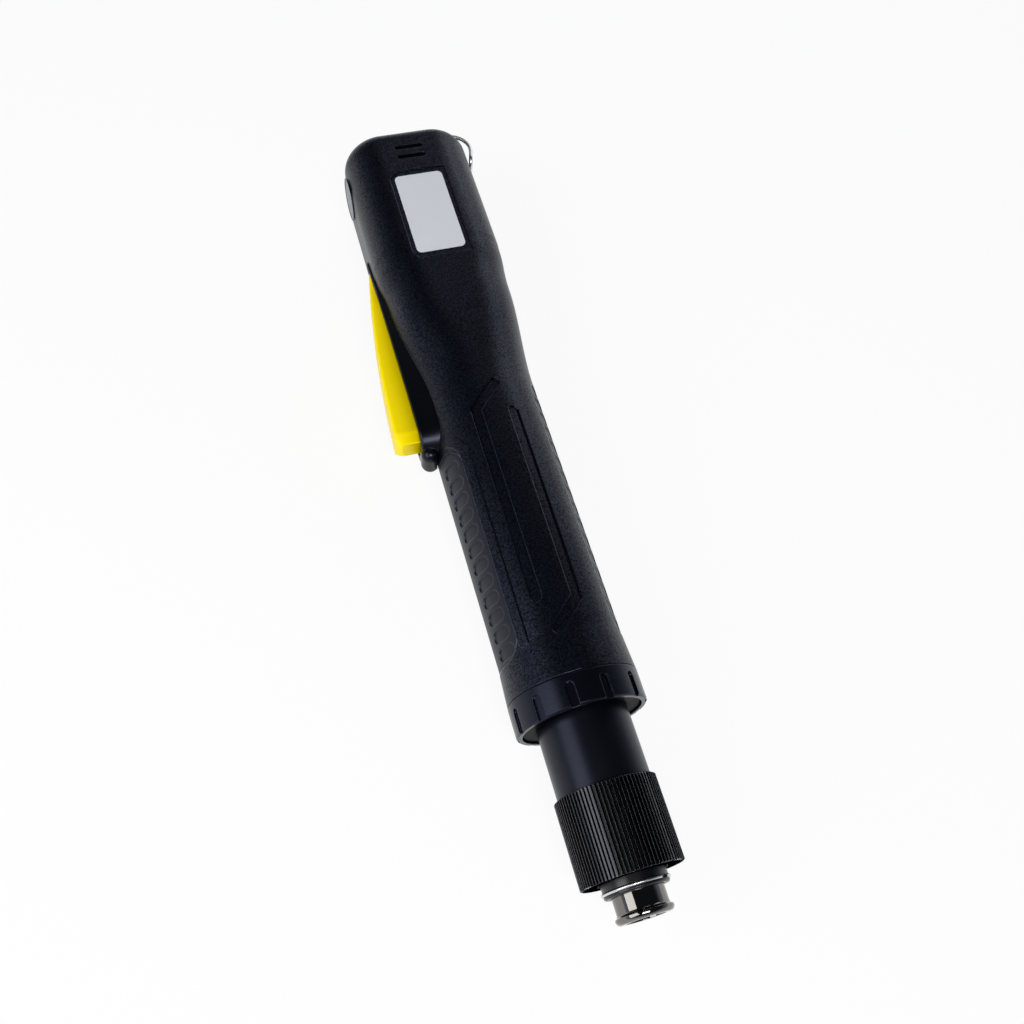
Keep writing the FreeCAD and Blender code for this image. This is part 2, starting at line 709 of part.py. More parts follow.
def grip_pad(side):
    """Soft grip pad with two rows of long dimples."""
    y_span = (HANDLE_START + PAD_START - 1, HANDLE_START + BACK_PAD_END + 1)
    skin = tube(GRIP_RADIUS, GRIP_RADIUS - PAD_THICKNESS + SEAT_GAP, *y_span)
    pad = skin.common(pad_outline(side, 0.0))
    count = FRONT_DIMPLES if side < 0 else BACK_DIMPLES
    prism = round_slot(DIMPLE_WIDTH, DIMPLE_HEIGHT, FAR)
    dimples = []
    for index in range(count):
        y = HANDLE_START + DIMPLE_START + DIMPLE_PITCH * index
        for angle in (DIMPLE_ANGLE, 180.0 - DIMPLE_ANGLE):
            dimples.append(on_side(prism, side * angle, y, 90.0))
    floor = bar(GRIP_RADIUS - DIMPLE_DEPTH, *y_span)
    cutter = Part.makeCompound([dimple.cut(floor) for dimple in dimples])
    return pad.cut(cutter)


def groove():
    """Two recessed lines on the label side, one the other's half turn."""
    y = HANDLE_START + GROOVE_START + GROOVE_LENGTH / 2
    straight = on_side(round_slot(GROOVE_LENGTH + GROOVE_WIDTH, GROOVE_WIDTH, FAR), -GROOVE_ANGLE, y)
    arm = round_slot(GROOVE_ARM_REACH * math.sqrt(2) + GROOVE_WIDTH, GROOVE_WIDTH, FAR)
    arm_y = HANDLE_START + GROOVE_START + GROOVE_LENGTH + GROOVE_ARM_REACH / 2
    arm = on_side(arm, -GROOVE_ARM_ANGLE, arm_y, -45.0)
    line = straight.fuse(arm)
    other = line.copy()
    other.rotate(Vector(0, HANDLE_START + GROOVE_CENTRE, 0), Z_AXIS, 180)
    y_span = (HANDLE_START, HANDLE_START + SWELL_START + SWELL_LENGTH)
    floor = bar(GRIP_RADIUS - GROOVE_DEPTH, *y_span)
    return Part.makeCompound([line.cut(floor), other.cut(floor)])


def bead():
    """Raised line beside the lever-side pad that curls round to the bezel, on both shells."""
    y_low = HANDLE_START + BEAD_START
    y_high = HANDLE_START + BEAD_TURN_PLACE
    length = y_high - y_low + GROOVE_WIDTH
    straight = on_side(round_slot(length, GROOVE_WIDTH, FAR), -BEAD_ANGLE, (y_low + y_high) / 2)
    centre = Vector(-BEAD_TURN_RADIUS, 0, 0)
    outer = Part.makeCylinder(BEAD_TURN_RADIUS + GROOVE_WIDTH / 2, FAR, centre, Z_AXIS, BEAD_TURN)
    inner = Part.makeCylinder(BEAD_TURN_RADIUS - GROOVE_WIDTH / 2, FAR, centre, Z_AXIS)
    curl = outer.cut(inner)
    lean = 10.0
    curl.translate(Vector(GRIP_RADIUS * math.radians(lean), 0, 0))
    curl = on_side(curl, -BEAD_ANGLE - lean, y_high)
    shell = tube(GRIP_RADIUS + BEAD_HEIGHT, GRIP_RADIUS - 1, y_low - 2, y_high + 12)
    upper = straight.fuse(curl).common(shell)
    lower = upper.mirror(Vector(0, 0, 0), Z_AXIS)
    return [upper, lower]


def skin_height(form, x, y):
    """Distance of the closed handle's surface from the parting plane at a place."""
    line = Part.makeLine(Vector(x, y, 0), Vector(x, y, FAR))
    return line.common(form).BoundBox.ZMax


def screw_stations(form):
    """Place of each housing screw and the level of its head's seat."""
    places = []
    for x, from_butt in SCREW_PLACES:
        y = BUTT - from_butt
        places.append((x, y, -skin_height(form, x, y) + SCREW_SINK))
    return places


def housing_screws(form):
    """The screws that close the two shells."""
    screws = []
    for x, y, seat in screw_stations(form):
        head = pin(SCREW_HEAD_RADIUS, SCREW_HEAD, Vector(x, y, seat), Vector(0, 0, -1))
        shank = pin(SCREW_RADIUS, SCREW_REACH - seat, Vector(x, y, seat), Z_AXIS)
        drive = pin(1.3, 1.1, Vector(x, y, seat - SCREW_HEAD), Z_AXIS)
        screws.append(head.fuse(shank).cut(drive))
    return Part.makeCompound(screws)


def shell_ribs(form, core):
    """Everything that stands up inside the shells."""
    ribs = []
    for place in MOTOR_RIBS:
        y = MOTOR_START + place
        ribs.append(tube(NOSE_RADIUS, MOTOR_RADIUS + SEAT_GAP, y, y + RIB_THICKNESS))
    nose = (HANDLE_START - 1, RING_GEAR_END + MOTOR_PLATE)
    ribs.append(tube(SPIGOT_RADIUS - 0.5, HANDLE_BORE_RADIUS, *nose))
    ribs.append(tube(SOCKET_FLANGE_RADIUS + 1.4, SOCKET_RADIUS + SEAT_GAP, BUTT - 9.0, BUTT))
    for x, y, seat in screw_stations(form):
        ribs.append(pin(BOSS_RADIUS, 2 * FAR, Vector(x, y, -FAR), Z_AXIS))
    for sign in (-1, 1):
        start = Vector(PIVOT_X, PIVOT_Y, sign * PIVOT_BOSS_START)
        ribs.append(pin(BOSS_RADIUS, FAR, start, Vector(0, 0, sign)))
        z_span = sorted((sign * (HOLDER_HALF + SEAT_GAP), sign * FAR))
        for y in (LEVER_SPRING_Y, SWITCH_Y):
            ribs.append(block((HOLDER_FACE - 2, HOLDER_FACE + 4), (y - 2, y + 2), z_span))
    board_end = BOARD_START + BOARD_LENGTH
    for x in (BOARD_LEFT + 3, BOARD_RIGHT - 3):
        for y in (HANDLE_START + BOARD_START + 5, HANDLE_START + board_end - 2.6):
            ribs.append(pin(2.2, FAR, Vector(x, y, BOARD_BASE - SEAT_GAP), Vector(0, 0, -1)))
    return [rib.common(core) for rib in ribs]


def ear_pair():
    """Lugs at the butt that the bail swings in."""
    ears = []
    inner = BAIL_HALF_WIDTH - BAIL_WIRE - BAIL_GAP - BAIL_EAR_THICKNESS
    for sign in (-1, 1):
        start = Vector(BAIL_X, BAIL_Y, sign * inner)
        ear = pin(BAIL_EAR_RADIUS, BAIL_EAR_THICKNESS, start, Vector(0, 0, sign))
        z_span = sorted((sign * inner, sign * (inner + BAIL_EAR_THICKNESS)))
        x_span = (BAIL_X - BAIL_EAR_RADIUS, BAIL_X + BAIL_EAR_RADIUS)
        stem = block(x_span, (BUTT - WALL, BAIL_Y), z_span)
        hole = pin(BAIL_WIRE + SEAT_GAP, 2 * FAR, Vector(BAIL_X, BAIL_Y, -FAR), Z_AXIS)
        ears.append(ear.fuse(stem).cut(hole))
    return ears


def shell_body(form, core):
    """Both shells together, before they are parted: skin, ribs and raised details."""
    cavity = handle_form(WALL, HANDLE_START - 1, BUTT - WALL)
    rim = pin(BADGE_RADIUS + 1.2, 2.0, Vector(-HEAD_HALF_X - BADGE_LIP, BADGE_Y, BADGE_Z), X_AXIS)
    spigot = tube(SPIGOT_RADIUS, HANDLE_BORE_RADIUS, FLANGE_END + SEAT_GAP, HANDLE_START + 1)
    skin = form.cut(cavity)
    return fuse_all([skin, spigot, rim] + bead() + ear_pair() + shell_ribs(form, core))


def shell_cuts(form):
    """Everything that is taken out of the shells."""
    cuts = [bezel_form(0.1)]
    room = leaf(
        -BEZEL_BASE - 0.5,
        HANDLE_START + BEZEL_END - 0.1,
        HANDLE_START + BEZEL_TIP + 0.1,
        BEZEL_HALF + BEZEL_FLARE + 0.1,
    )
    cuts.append(Part.Face(room).extrude(Vector(5, 0, 0)))
    cuts.append(groove())
    y_span = (HANDLE_START + PAD_START - 1, HANDLE_START + BACK_PAD_END + 1)
    skin = tube(FAR, GRIP_RADIUS - PAD_THICKNESS, *y_span)
    for side in (-1, 1):
        cuts.append(skin.common(pad_outline(side, 0.1)))
    cuts.append(label_recess())
    for place in SLOT_PLACES:
        slot = round_slot(SLOT_LENGTH, SLOT_WIDTH, FAR)
        slot.rotate(Vector(0, 0, 0), Z_AXIS, 90)
        slot.translate(Vector(0, BUTT - place, HEAD_HALF_Z / 2))
        cuts.append(slot)
    seat = -HEAD_HALF_X + BADGE_SINK
    cuts.append(pin(BADGE_RADIUS + 0.1, FAR, Vector(seat, BADGE_Y, BADGE_Z), Vector(-1, 0, 0)))
    cuts.append(bar(SOCKET_FLANGE_RADIUS + 0.1, BUTT - SOCKET_FLANGE, BUTT + 5))
    cuts.append(bar(SOCKET_RADIUS + SEAT_GAP, BUTT - SOCKET_LENGTH, BUTT + 5))
    for x, y, seat in screw_stations(form):
        top = SCREW_REACH + 0.5
        cuts.append(pin(SCREW_RADIUS + SEAT_GAP, top - seat, Vector(x, y, seat), Z_AXIS))
        cuts.append(pin(SCREW_HEAD_RADIUS + 0.15, FAR, Vector(x, y, seat), Vector(0, 0, -1)))
    axis = Vector(PIVOT_X, PIVOT_Y, -LEVER_PIN_LENGTH / 2 - 0.2)
    cuts.append(pin(LEVER_PIN_RADIUS + SEAT_GAP, LEVER_PIN_LENGTH + 0.4, axis, Z_AXIS))
    half = KNOB_WIDTH / 2 + 0.8
    reach = KNOB_LENGTH / 2 + DIRECTION_TRAVEL + 2
    floor = -HEAD_HALF_Z + KNOB_RECESS
    cuts.append(block((-reach, reach), (DIRECTION_Y - half, DIRECTION_Y + half), (-FAR, floor)))
    window = STEM_HALF + DIRECTION_TRAVEL + BODY_GAP
    side = STEM_HALF + BODY_GAP
    z_span = (-FAR, -HEAD_HALF_Z / 2 - 6)
    cuts.append(block((-window, window), (DIRECTION_Y - side, DIRECTION_Y + side), z_span))
    return cuts


def label_recess():
    """Shallow recess of the label, its lever-side corners bevelled."""
    half = RECESS_WIDTH / 2
    low = LABEL_Y - RECESS_LENGTH / 2
    high = LABEL_Y + RECESS_LENGTH / 2
    z = HEAD_HALF_Z - RECESS_DEPTH
    points = [
        Vector(half, low, z),
        Vector(half, high, z),
        Vector(-half + RECESS_BEVEL, high, z),
        Vector(-half, high - RECESS_BEVEL, z),
        Vector(-half, low + RECESS_BEVEL, z),
        Vector(-half + RECESS_BEVEL / 2, low, z),
    ]
    return Part.Face(Part.makePolygon(points + points[:1])).extrude(Vector(0, 0, 5))


def housing_shells():
    """Upper and lower shell, and the screws that join them."""
    form = handle_form(0.0, HANDLE_START + SEAT_GAP, BUTT)
    core = handle_form(0.6, HANDLE_START + SEAT_GAP, BUTT - 0.6)
    body = shell_body(form, core)
    body = body.cut(shell_cuts(form))
    upper = body.common(block((-FAR, FAR), (0, 400), (PARTING_GAP, FAR)))
    lower = body.common(block((-FAR, FAR), (0, 400), (-FAR, -PARTING_GAP)))
    return {"upper_housing": upper, "lower_housing": lower, "housing_screws": housing_screws(form)}


def rating_label():
    """Bare sticker in the recess."""
    z = HEAD_HALF_Z - RECESS_DEPTH + 0.02
    half = LABEL_WIDTH / 2
    reach = LABEL_LENGTH / 2
    label = block((-half, half), (LABEL_Y - reach, LABEL_Y + reach), (z, z + LABEL_THICKNESS))
    corners = [edge for edge in label.Edges if edge.BoundBox.ZLength > 0.1]
    return label.makeFillet(LABEL_ROUND, corners)


def side_badge():
    """Bare round sticker on the lever side of the head."""
    start = Vector(-HEAD_HALF_X + BADGE_SINK - 0.02, BADGE_Y, BADGE_Z)
    return pin(BADGE_RADIUS, BADGE_THICKNESS, start, Vector(-1, 0, 0))


def rod_path(points, bends):
    """Line through points, each corner rounded with its own radius."""
    edges = []
    start = points[0]
    for before, corner, after, bend in zip(points[:-2], points[1:-1], points[2:], bends):
        inward = (before - corner).normalize()
        onward = (after - corner).normalize()
        half_angle = inward.getAngle(onward) / 2
        reach = bend / math.tan(half_angle)
        bisector = (inward + onward).normalize()
        middle = corner + bisector * (bend / math.sin(half_angle) - bend)
        first = corner + inward * reach
        last = corner + onward * reach
        edges.append(Part.makeLine(start, first))
        edges.append(Part.Arc(first, middle, last).toShape())
        start = last
    edges.append(Part.makeLine(start, points[-1]))
    return Part.Wire(edges)


def hanging_bail():
    """Bowed wire bail that the tool hangs by, folded down behind the head."""
    inner = BAIL_HALF_WIDTH - BAIL_WIRE - BAIL_GAP - BAIL_EAR_THICKNESS
    half = BAIL_HALF_WIDTH
    arm = [
        Vector(BAIL_X, BAIL_Y, -half),
        Vector(BAIL_BEND_X, BAIL_Y + BAIL_BEND_RISE, -half),
        Vector(BAIL_END_X, BAIL_Y - BAIL_DROP, -half),
    ]
    other_arm = [Vector(point.x, point.y, half) for point in arm[::-1]]
    points = [Vector(BAIL_X, BAIL_Y, -inner)] + arm + other_arm + [Vector(BAIL_X, BAIL_Y, inner)]
    eye_bend = BAIL_WIRE + BAIL_GAP
    bends = (eye_bend, BAIL_BOW, BAIL_CORNER, BAIL_CORNER, BAIL_BOW, eye_bend)
    circle = Part.makeCircle(BAIL_WIRE, points[0], Z_AXIS)
    return rod_path(points, bends).makePipeShell([Part.Wire(circle)], True, False)


def power_socket():
    """Shell of the round inlet in the butt, with the key that turns the plug the right way."""
    body = turned([
        (BUTT - SOCKET_LENGTH, SOCKET_BORE_RADIUS),
        (BUTT - SOCKET_LENGTH, SOCKET_RADIUS),
        (BUTT - SOCKET_FLANGE + SEAT_GAP, SOCKET_RADIUS),
        (BUTT - SOCKET_FLANGE + SEAT_GAP, SOCKET_FLANGE_RADIUS),
        (BUTT, SOCKET_FLANGE_RADIUS),
        (BUTT, SOCKET_BORE_RADIUS + 0.5),
        (BUTT - 0.5, SOCKET_BORE_RADIUS),
    ])
    key_span = (BUTT - SOCKET_DEPTH + SEAT_GAP, BUTT - 1)
    key = block((-1.2, 1.2), key_span, (SOCKET_BORE_RADIUS - 0.9, SOCKET_BORE_RADIUS + 0.4))
    return body.fuse(key)


def socket_insert():
    """Insulating insert at the bottom of the inlet, which carries the pins."""
    floor = BUTT - SOCKET_DEPTH
    body = bar(SOCKET_BORE_RADIUS - 0.03, BUTT - SOCKET_LENGTH, floor)
    hole = bar(SOCKET_PIN_RADIUS + 0.02, floor - 10, floor + 1, SOCKET_PIN_CIRCLE)
    return body.cut(ring_of(hole, SOCKET_PINS))


def socket_pins():
    """Contact pins of the inlet."""
    floor = BUTT - SOCKET_DEPTH
    start = BUTT - SOCKET_LENGTH - 3
    contact = bar(SOCKET_PIN_RADIUS, start, floor + SOCKET_PIN_SHOW, SOCKET_PIN_CIRCLE)
    return Part.makeCompound(ring_of(contact, SOCKET_PINS))


def control_board():
    """Circuit board, held on four posts of the lower shell."""
    y_low = HANDLE_START + BOARD_START
    return block((BOARD_LEFT, BOARD_RIGHT), (y_low, y_low + BOARD_LENGTH), (BOARD_BASE, BOARD_TOP))


def board_parts():
    """Capacitor, power transistors, connector and chips on the board."""
    level = BOARD_TOP + 0.02
    start = HANDLE_START + BOARD_START
    end = start + BOARD_LENGTH
    chip = start + 0.25 * BOARD_LENGTH
    capacitor = start + 0.4 * BOARD_LENGTH
    parts = [bar(5.0, capacitor, capacitor + 12, 4.0, level + 5.0)]
    parts.append(block((-6.0, -1.6), (start + 6, start + 16), (level, level + 9)))
    parts.append(block((3.0, 8.0), (start + 6, start + 18), (level, level + 7)))
    parts.append(block((-4.0, 6.0), (chip, chip + 10), (level, level + 1.6)))
    parts.append(block((-6.0, 8.0), (end - 12, end - 4), (level, level + 6)))
    for index in range(3):
        low = end - 30 + 5.6 * index
        parts.append(block((-4.0, 6.0), (low, low + 4.4), (level, level + 2.0)))
    return Part.makeCompound(parts)


def direction_switch():
    """Slide switch body under the board."""
    top = BOARD_BASE - SEAT_GAP
    base = -HEAD_HALF_Z + WALL + 0.6
    body = block((-6.6, 6.6), (DIRECTION_Y - 6, DIRECTION_Y + 6), (base, top))
    window = STEM_HALF + DIRECTION_TRAVEL + BODY_GAP
    side = STEM_HALF + BODY_GAP
    z_span = (base, base + STEM_DEPTH + 0.4)
    room = block((-window, window), (DIRECTION_Y - side, DIRECTION_Y + side), z_span)
    return body.cut(room)


def direction_knob():
    """Sliding knob for forward, off and reverse."""
    low = -HEAD_HALF_Z + 0.25
    floor = -HEAD_HALF_Z + KNOB_RECESS - 0.12
    half = KNOB_LENGTH / 2
    y_span = (DIRECTION_Y - KNOB_WIDTH / 2, DIRECTION_Y + KNOB_WIDTH / 2)
    cap = block((-half, half), y_span, (low, floor))
    base = -HEAD_HALF_Z + WALL + 0.6
    stem = block(
        (-STEM_HALF, STEM_HALF),
        (DIRECTION_Y - STEM_HALF, DIRECTION_Y + STEM_HALF),
        (low, base + STEM_DEPTH),
    )
    return cap.fuse(stem)


def coupling_ring():
    """Ring that clamps the clutch housing to the handle, with spanner notches."""
    lip_end = FLANGE_STEP - SEAT_GAP
    bore = SPIGOT_RADIUS + 0.15
    body = turned([
        (RING_START, RING_LIP_RADIUS),
        (RING_START, RING_RADIUS - 0.5),
        (RING_START + 0.5, RING_RADIUS),
        (HANDLE_START - 0.3, RING_RADIUS),
        (HANDLE_START, RING_RADIUS - 0.3),
        (HANDLE_START, bore),
        (lip_end, bore),
        (lip_end, RING_LIP_RADIUS),
    ])
    length = 2 * NOTCH_LENGTH
    notch = round_slot(length, NOTCH_WIDTH, FAR)
    notch.translate(Vector(0, RING_START, RING_RADIUS - NOTCH_DEPTH))
    notch.rotate(Vector(0, 0, 0), Y_AXIS, NOTCH_TURN)
    return body.cut(Part.makeCompound(ring_of(notch, RING_NOTCHES)))


def clutch_housing():
    """Satin tube of the clutch with its thread zone, clamping flange and bearing seat."""
    thread = NUT_THREAD_RADIUS - THREAD_GAP
    lip_start = BEARING_START - BEARING_LIP
    return turned([
        (TUBE_FRONT, TUBE_BORE_RADIUS),
        (TUBE_FRONT, thread - 0.5),
        (TUBE_FRONT + 0.5, thread),
        (TUBE_START, thread),
        (TUBE_START, TUBE_RADIUS),
        (FLANGE_START, TUBE_RADIUS),
        (FLANGE_START, FLANGE_FRONT_RADIUS - 0.3),
        (FLANGE_START + 0.3, FLANGE_FRONT_RADIUS),
        (FLANGE_STEP, FLANGE_FRONT_RADIUS),
        (FLANGE_STEP, FLANGE_REAR_RADIUS),
        (FLANGE_END, FLANGE_REAR_RADIUS),
        (FLANGE_END, RING_GEAR_RADIUS),
        (SPIGOT_END, RING_GEAR_RADIUS),
        (SPIGOT_END, CARRIER_RADIUS + 0.8),
        (BEARING_END + SEAT_GAP, CARRIER_RADIUS + 0.8),
        (BEARING_END + SEAT_GAP, BEARING_RADIUS),
        (BEARING_START, BEARING_RADIUS),
        (BEARING_START, BEARING_RADIUS - 0.9),
        (lip_start, BEARING_RADIUS - 0.9),
        (lip_start, TUBE_BORE_RADIUS),
    ])


def knurled_disc(y_low, y_high):
    """Straight-knurled disc: a ring of V-shaped teeth."""
    root = NUT_RADIUS - KNURL_DEPTH
    points = []
    for index in range(KNURL_TEETH):
        for share, radius in ((0.0, root), (0.32, NUT_RADIUS), (0.68, NUT_RADIUS)):
            turn = 2 * math.pi * (index + share) / KNURL_TEETH
            points.append(Vector(radius * math.sin(turn), y_low, radius * math.cos(turn)))
    face = Part.Face(Part.makePolygon(points + points[:1]))
    return face.extrude(Vector(0, y_high - y_low, 0))


def torque_nut():
    """Torque adjusting nut."""
    end = TUBE_START
    thread_start = SEAT_START - SEAT_GAP
    thread_end = thread_start + NUT_THREAD_LENGTH
    root = NUT_RADIUS - KNURL_DEPTH
    envelope = turned([
        (NUT_START, NUT_BORE_RADIUS),
        (NUT_START, root - 0.3),
        (NUT_START + 0.8, NUT_RADIUS),
        (end - 0.8, NUT_RADIUS),
        (end, root - 0.3),
        (end, TUBE_RADIUS + 0.15),
        (thread_end, TUBE_RADIUS + 0.15),
        (thread_end, NUT_THREAD_RADIUS),
        (thread_start, NUT_THREAD_RADIUS),
        (thread_start, NUT_BORE_RADIUS),
    ])
    return knurled_disc(NUT_START, end).common(envelope)


def spring_seat():
    """Disc that the nut pushes against the clutch spring."""
    return turned([
        (SEAT_START, SHANK_RADIUS + 0.15),
        (SEAT_START, NUT_THREAD_RADIUS - SEAT_OVERHANG),
        (SEAT_START + SEAT_DISC, NUT_THREAD_RADIUS - SEAT_OVERHANG),
        (SEAT_START + SEAT_DISC, TUBE_BORE_RADIUS - 0.15),
        (SEAT_FACE, TUBE_BORE_RADIUS - 0.15),
        (SEAT_FACE, SHANK_RADIUS + 0.15),
    ])


def clutch_spring():
    """Main spring of the torque clutch."""
    length = CLUTCH_SPRING_LENGTH - 2 * SEAT_GAP
    spring = coil(CLUTCH_SPRING_RADIUS, CLUTCH_WIRE, length, CLUTCH_TURNS)
    spring.rotate(Vector(0, 0, 0), X_AXIS, -90)
    spring.translate(Vector(0, SEAT_FACE + SEAT_GAP, 0))
    return spring


def clutch_ball_centres():
    """Middle of each clutch ball, half in each cam."""
    y = DRIVEN_START + CAM_THICKNESS + CAM_GAP / 2
    centres = []
    for index in range(CLUTCH_BALLS):
        turn = 2 * math.pi * index / CLUTCH_BALLS
        outward = Vector(math.sin(turn), 0, math.cos(turn))
        centres.append(outward * CLUTCH_BALL_CIRCLE + Y_AXIS * y)
    return centres


def ball_pockets():
    """Pockets for the clutch balls, a little larger than the balls."""
    radius = CLUTCH_BALL_RADIUS + SEAT_GAP
    return Part.makeCompound([Part.makeSphere(radius, centre) for centre in clutch_ball_centres()])


def driven_cam():
    """Cam that the clutch spring presses on, keyed to the bit holder."""
    body = tube(CAM_RADIUS, SHANK_RADIUS + 0.04, DRIVEN_START, DRIVEN_START + CAM_THICKNESS)
    return body.cut(ball_pockets())


def clutch_balls():
    """Balls between the two cams."""
    balls = [Part.makeSphere(CLUTCH_BALL_RADIUS, centre) for centre in clutch_ball_centres()]
    return Part.makeCompound(balls)


def drive_cam():
    """Driving cam with the shaft that runs in the bearing."""
    shaft_end = CARRIER_START + CARRIER_THICKNESS - 0.3
    cam_end = DRIVE_START + CAM_THICKNESS
    body = turned([
        (DRIVE_START, PILOT_RADIUS + SEAT_GAP),
        (DRIVE_START, CAM_RADIUS),
        (cam_end, CAM_RADIUS),
        (cam_end, SHAFT_RADIUS),
        (shaft_end, SHAFT_RADIUS),
        (shaft_end, 0),
        (cam_end - 1, 0),
        (cam_end - 1, PILOT_RADIUS + SEAT_GAP),
    ])
    return body.cut(ball_pockets())


def bit_holder():
    """Output spindle: bit socket with a half-moon seat, lock ball hole and ring grooves."""
    shoulder = SLEEVE_START + SLEEVE_DEPTH
    cam_end = DRIVEN_START + CAM_THICKNESS
    pilot_end = DRIVE_START + CAM_THICKNESS - 1.4
    body = turned([
        (0, BIT_BORE_RADIUS),
        (0, SPINDLE_RADIUS - 0.3),
        (0.3, SPINDLE_RADIUS),
        (SNAP_RING_PLACE - SEAT_GAP, SPINDLE_RADIUS),
        (SNAP_RING_PLACE - SEAT_GAP, SNAP_RING_GROOVE),
        (SNAP_RING_PLACE + SNAP_RING_THICKNESS + SEAT_GAP, SNAP_RING_GROOVE),
        (SNAP_RING_PLACE + SNAP_RING_THICKNESS + SEAT_GAP, SPINDLE_RADIUS),
        (shoulder, SPINDLE_RADIUS),
        (shoulder, SHANK_RADIUS),
        (cam_end, SHANK_RADIUS),
        (cam_end, PILOT_RADIUS),
        (pilot_end, PILOT_RADIUS),
        (pilot_end, 0),
        (HALF_MOON_START, 0),
        (HALF_MOON_START, BIT_BORE_RADIUS + BIT_RELIEF),
        (BIT_BORE_DEPTH, BIT_BORE_RADIUS + BIT_RELIEF),
        (BIT_BORE_DEPTH, BIT_BORE_RADIUS),
    ])
    seat = bar(BIT_BORE_RADIUS, HALF_MOON_START - 1, BIT_SOCKET_DEPTH)
    half_moon = seat.common(block((-FAR, FAR), (0, 50), (-FAR, 0.3)))
    radial = pin(LOCK_BALL_RADIUS + SEAT_GAP, SPINDLE_RADIUS, Vector(0, LOCK_BALL_PLACE, 1), Z_AXIS)
    return body.cut([half_moon, radial])


def lock_ball():
    """Ball that holds the bit's neck."""
    centre = Vector(0, LOCK_BALL_PLACE, SPINDLE_RADIUS - LOCK_BALL_RADIUS)
    return Part.makeSphere(LOCK_BALL_RADIUS, centre)


def holder_sleeve():
    """Black cup on the bit holder that guides the collar and its spring."""
    end = SLEEVE_START + SLEEVE_DEPTH
    floor = end - SLEEVE_WALL
    opening = COLLAR_NECK_RADIUS + LOOSE_GAP
    body = turned([
        (SLEEVE_START, opening),
        (SLEEVE_START, SLEEVE_RADIUS - 0.4),
        (SLEEVE_START + 0.4, SLEEVE_RADIUS),
        (end - SEAT_GAP, SLEEVE_RADIUS),
        (end - SEAT_GAP, SPINDLE_RADIUS + 0.04),
        (floor, SPINDLE_RADIUS + 0.04),
        (floor, opening),
    ])
    centre = Vector(0, CLIP_Y, 0)
    groove_ring = Part.makeTorus(SLEEVE_RADIUS + 0.1, CLIP_RADIUS + SEAT_GAP, centre, Y_AXIS)
    return body.cut(groove_ring)


def retaining_ring():
    """Open ring of bright wire in the sleeve's groove."""
    ring = Part.makeTorus(SLEEVE_RADIUS + 0.1, CLIP_RADIUS, Vector(0, CLIP_Y, 0), Y_AXIS)
    opening = block((0, FAR), (0, 30), (-1.4, 1.4))
    opening.rotate(Vector(0, 0, 0), Y_AXIS, 100)
    return ring.cut(opening)


def collar():
    """Bit release collar: flange, neck, spring side and the relief groove over the ball."""
    end = COLLAR_START + COLLAR_LENGTH
    bore = SPINDLE_RADIUS + RUNNING_GAP
    wide = SNAP_RING_OUTER + 0.3
    ring_end = SNAP_RING_PLACE + SNAP_RING_THICKNESS + SEAT_GAP
    relief_end = LOCK_BALL_PLACE - LOCK_BALL_RADIUS - 0.15
    flange_end = COLLAR_START + COLLAR_FLANGE
    return turned([
        (COLLAR_START, wide),
        (COLLAR_START, COLLAR_FLANGE_RADIUS - 0.9),
        (COLLAR_START + 0.25, COLLAR_FLANGE_RADIUS - 0.3),
        (COLLAR_START + 0.9, COLLAR_FLANGE_RADIUS),
        (flange_end - 0.5, COLLAR_FLANGE_RADIUS),
        (flange_end, COLLAR_FLANGE_RADIUS - 0.4),
        (flange_end + 0.2, COLLAR_NECK_RADIUS),
        (end, COLLAR_NECK_RADIUS),
        (end, bore),
        (relief_end, bore),
        (relief_end, wide),
        (relief_end - COLLAR_TRAVEL, wide),
        (relief_end - COLLAR_TRAVEL, bore),
        (ring_end, bore),
        (ring_end, wide),
    ])


def collar_snap_ring():
    """Ring at the holder's mouth that stops the collar."""
    inner = SNAP_RING_GROOVE + 0.03
    return tube(SNAP_RING_OUTER, inner, SNAP_RING_PLACE, SNAP_RING_PLACE + SNAP_RING_THICKNESS)


def collar_spring():
    """Spring between the collar and the sleeve's floor."""
    start = COLLAR_START + COLLAR_LENGTH
    length = SLEEVE_START + SLEEVE_DEPTH - SLEEVE_WALL - start
    spring = coil(COLLAR_SPRING_RADIUS, COLLAR_SPRING_WIRE, length - 2 * SEAT_GAP, 3)
    spring.rotate(Vector(0, 0, 0), X_AXIS, -90)
    spring.translate(Vector(0, start + SEAT_GAP, 0))
    return spring


def bearing_parts():
    """Output ball bearing: outer ring, inner ring and balls."""
    middle = BEARING_START + BEARING_WIDTH / 2
    circle = (BEARING_RADIUS + SHAFT_RADIUS) / 2
    race = Part.makeTorus(circle, BEARING_BALL_RADIUS + SEAT_GAP, Vector(0, middle, 0), Y_AXIS)
    outer = tube(BEARING_RADIUS - 0.03, BEARING_RADIUS - BEARING_RACE, BEARING_START, BEARING_END)
    inner = tube(SHAFT_RADIUS + BEARING_RACE, SHAFT_RADIUS + 0.03, BEARING_START, BEARING_END)
    ball = Part.makeSphere(BEARING_BALL_RADIUS, Vector(0, middle, circle))
    return {
        "bearing_outer_ring": outer.cut(race),
        "bearing_inner_ring": inner.cut(race),
        "bearing_balls": Part.makeCompound(ring_of(ball, BEARING_BALLS)),
    }


def involute(angle):
    """Involute function of an angle."""
    return math.tan(angle) - angle


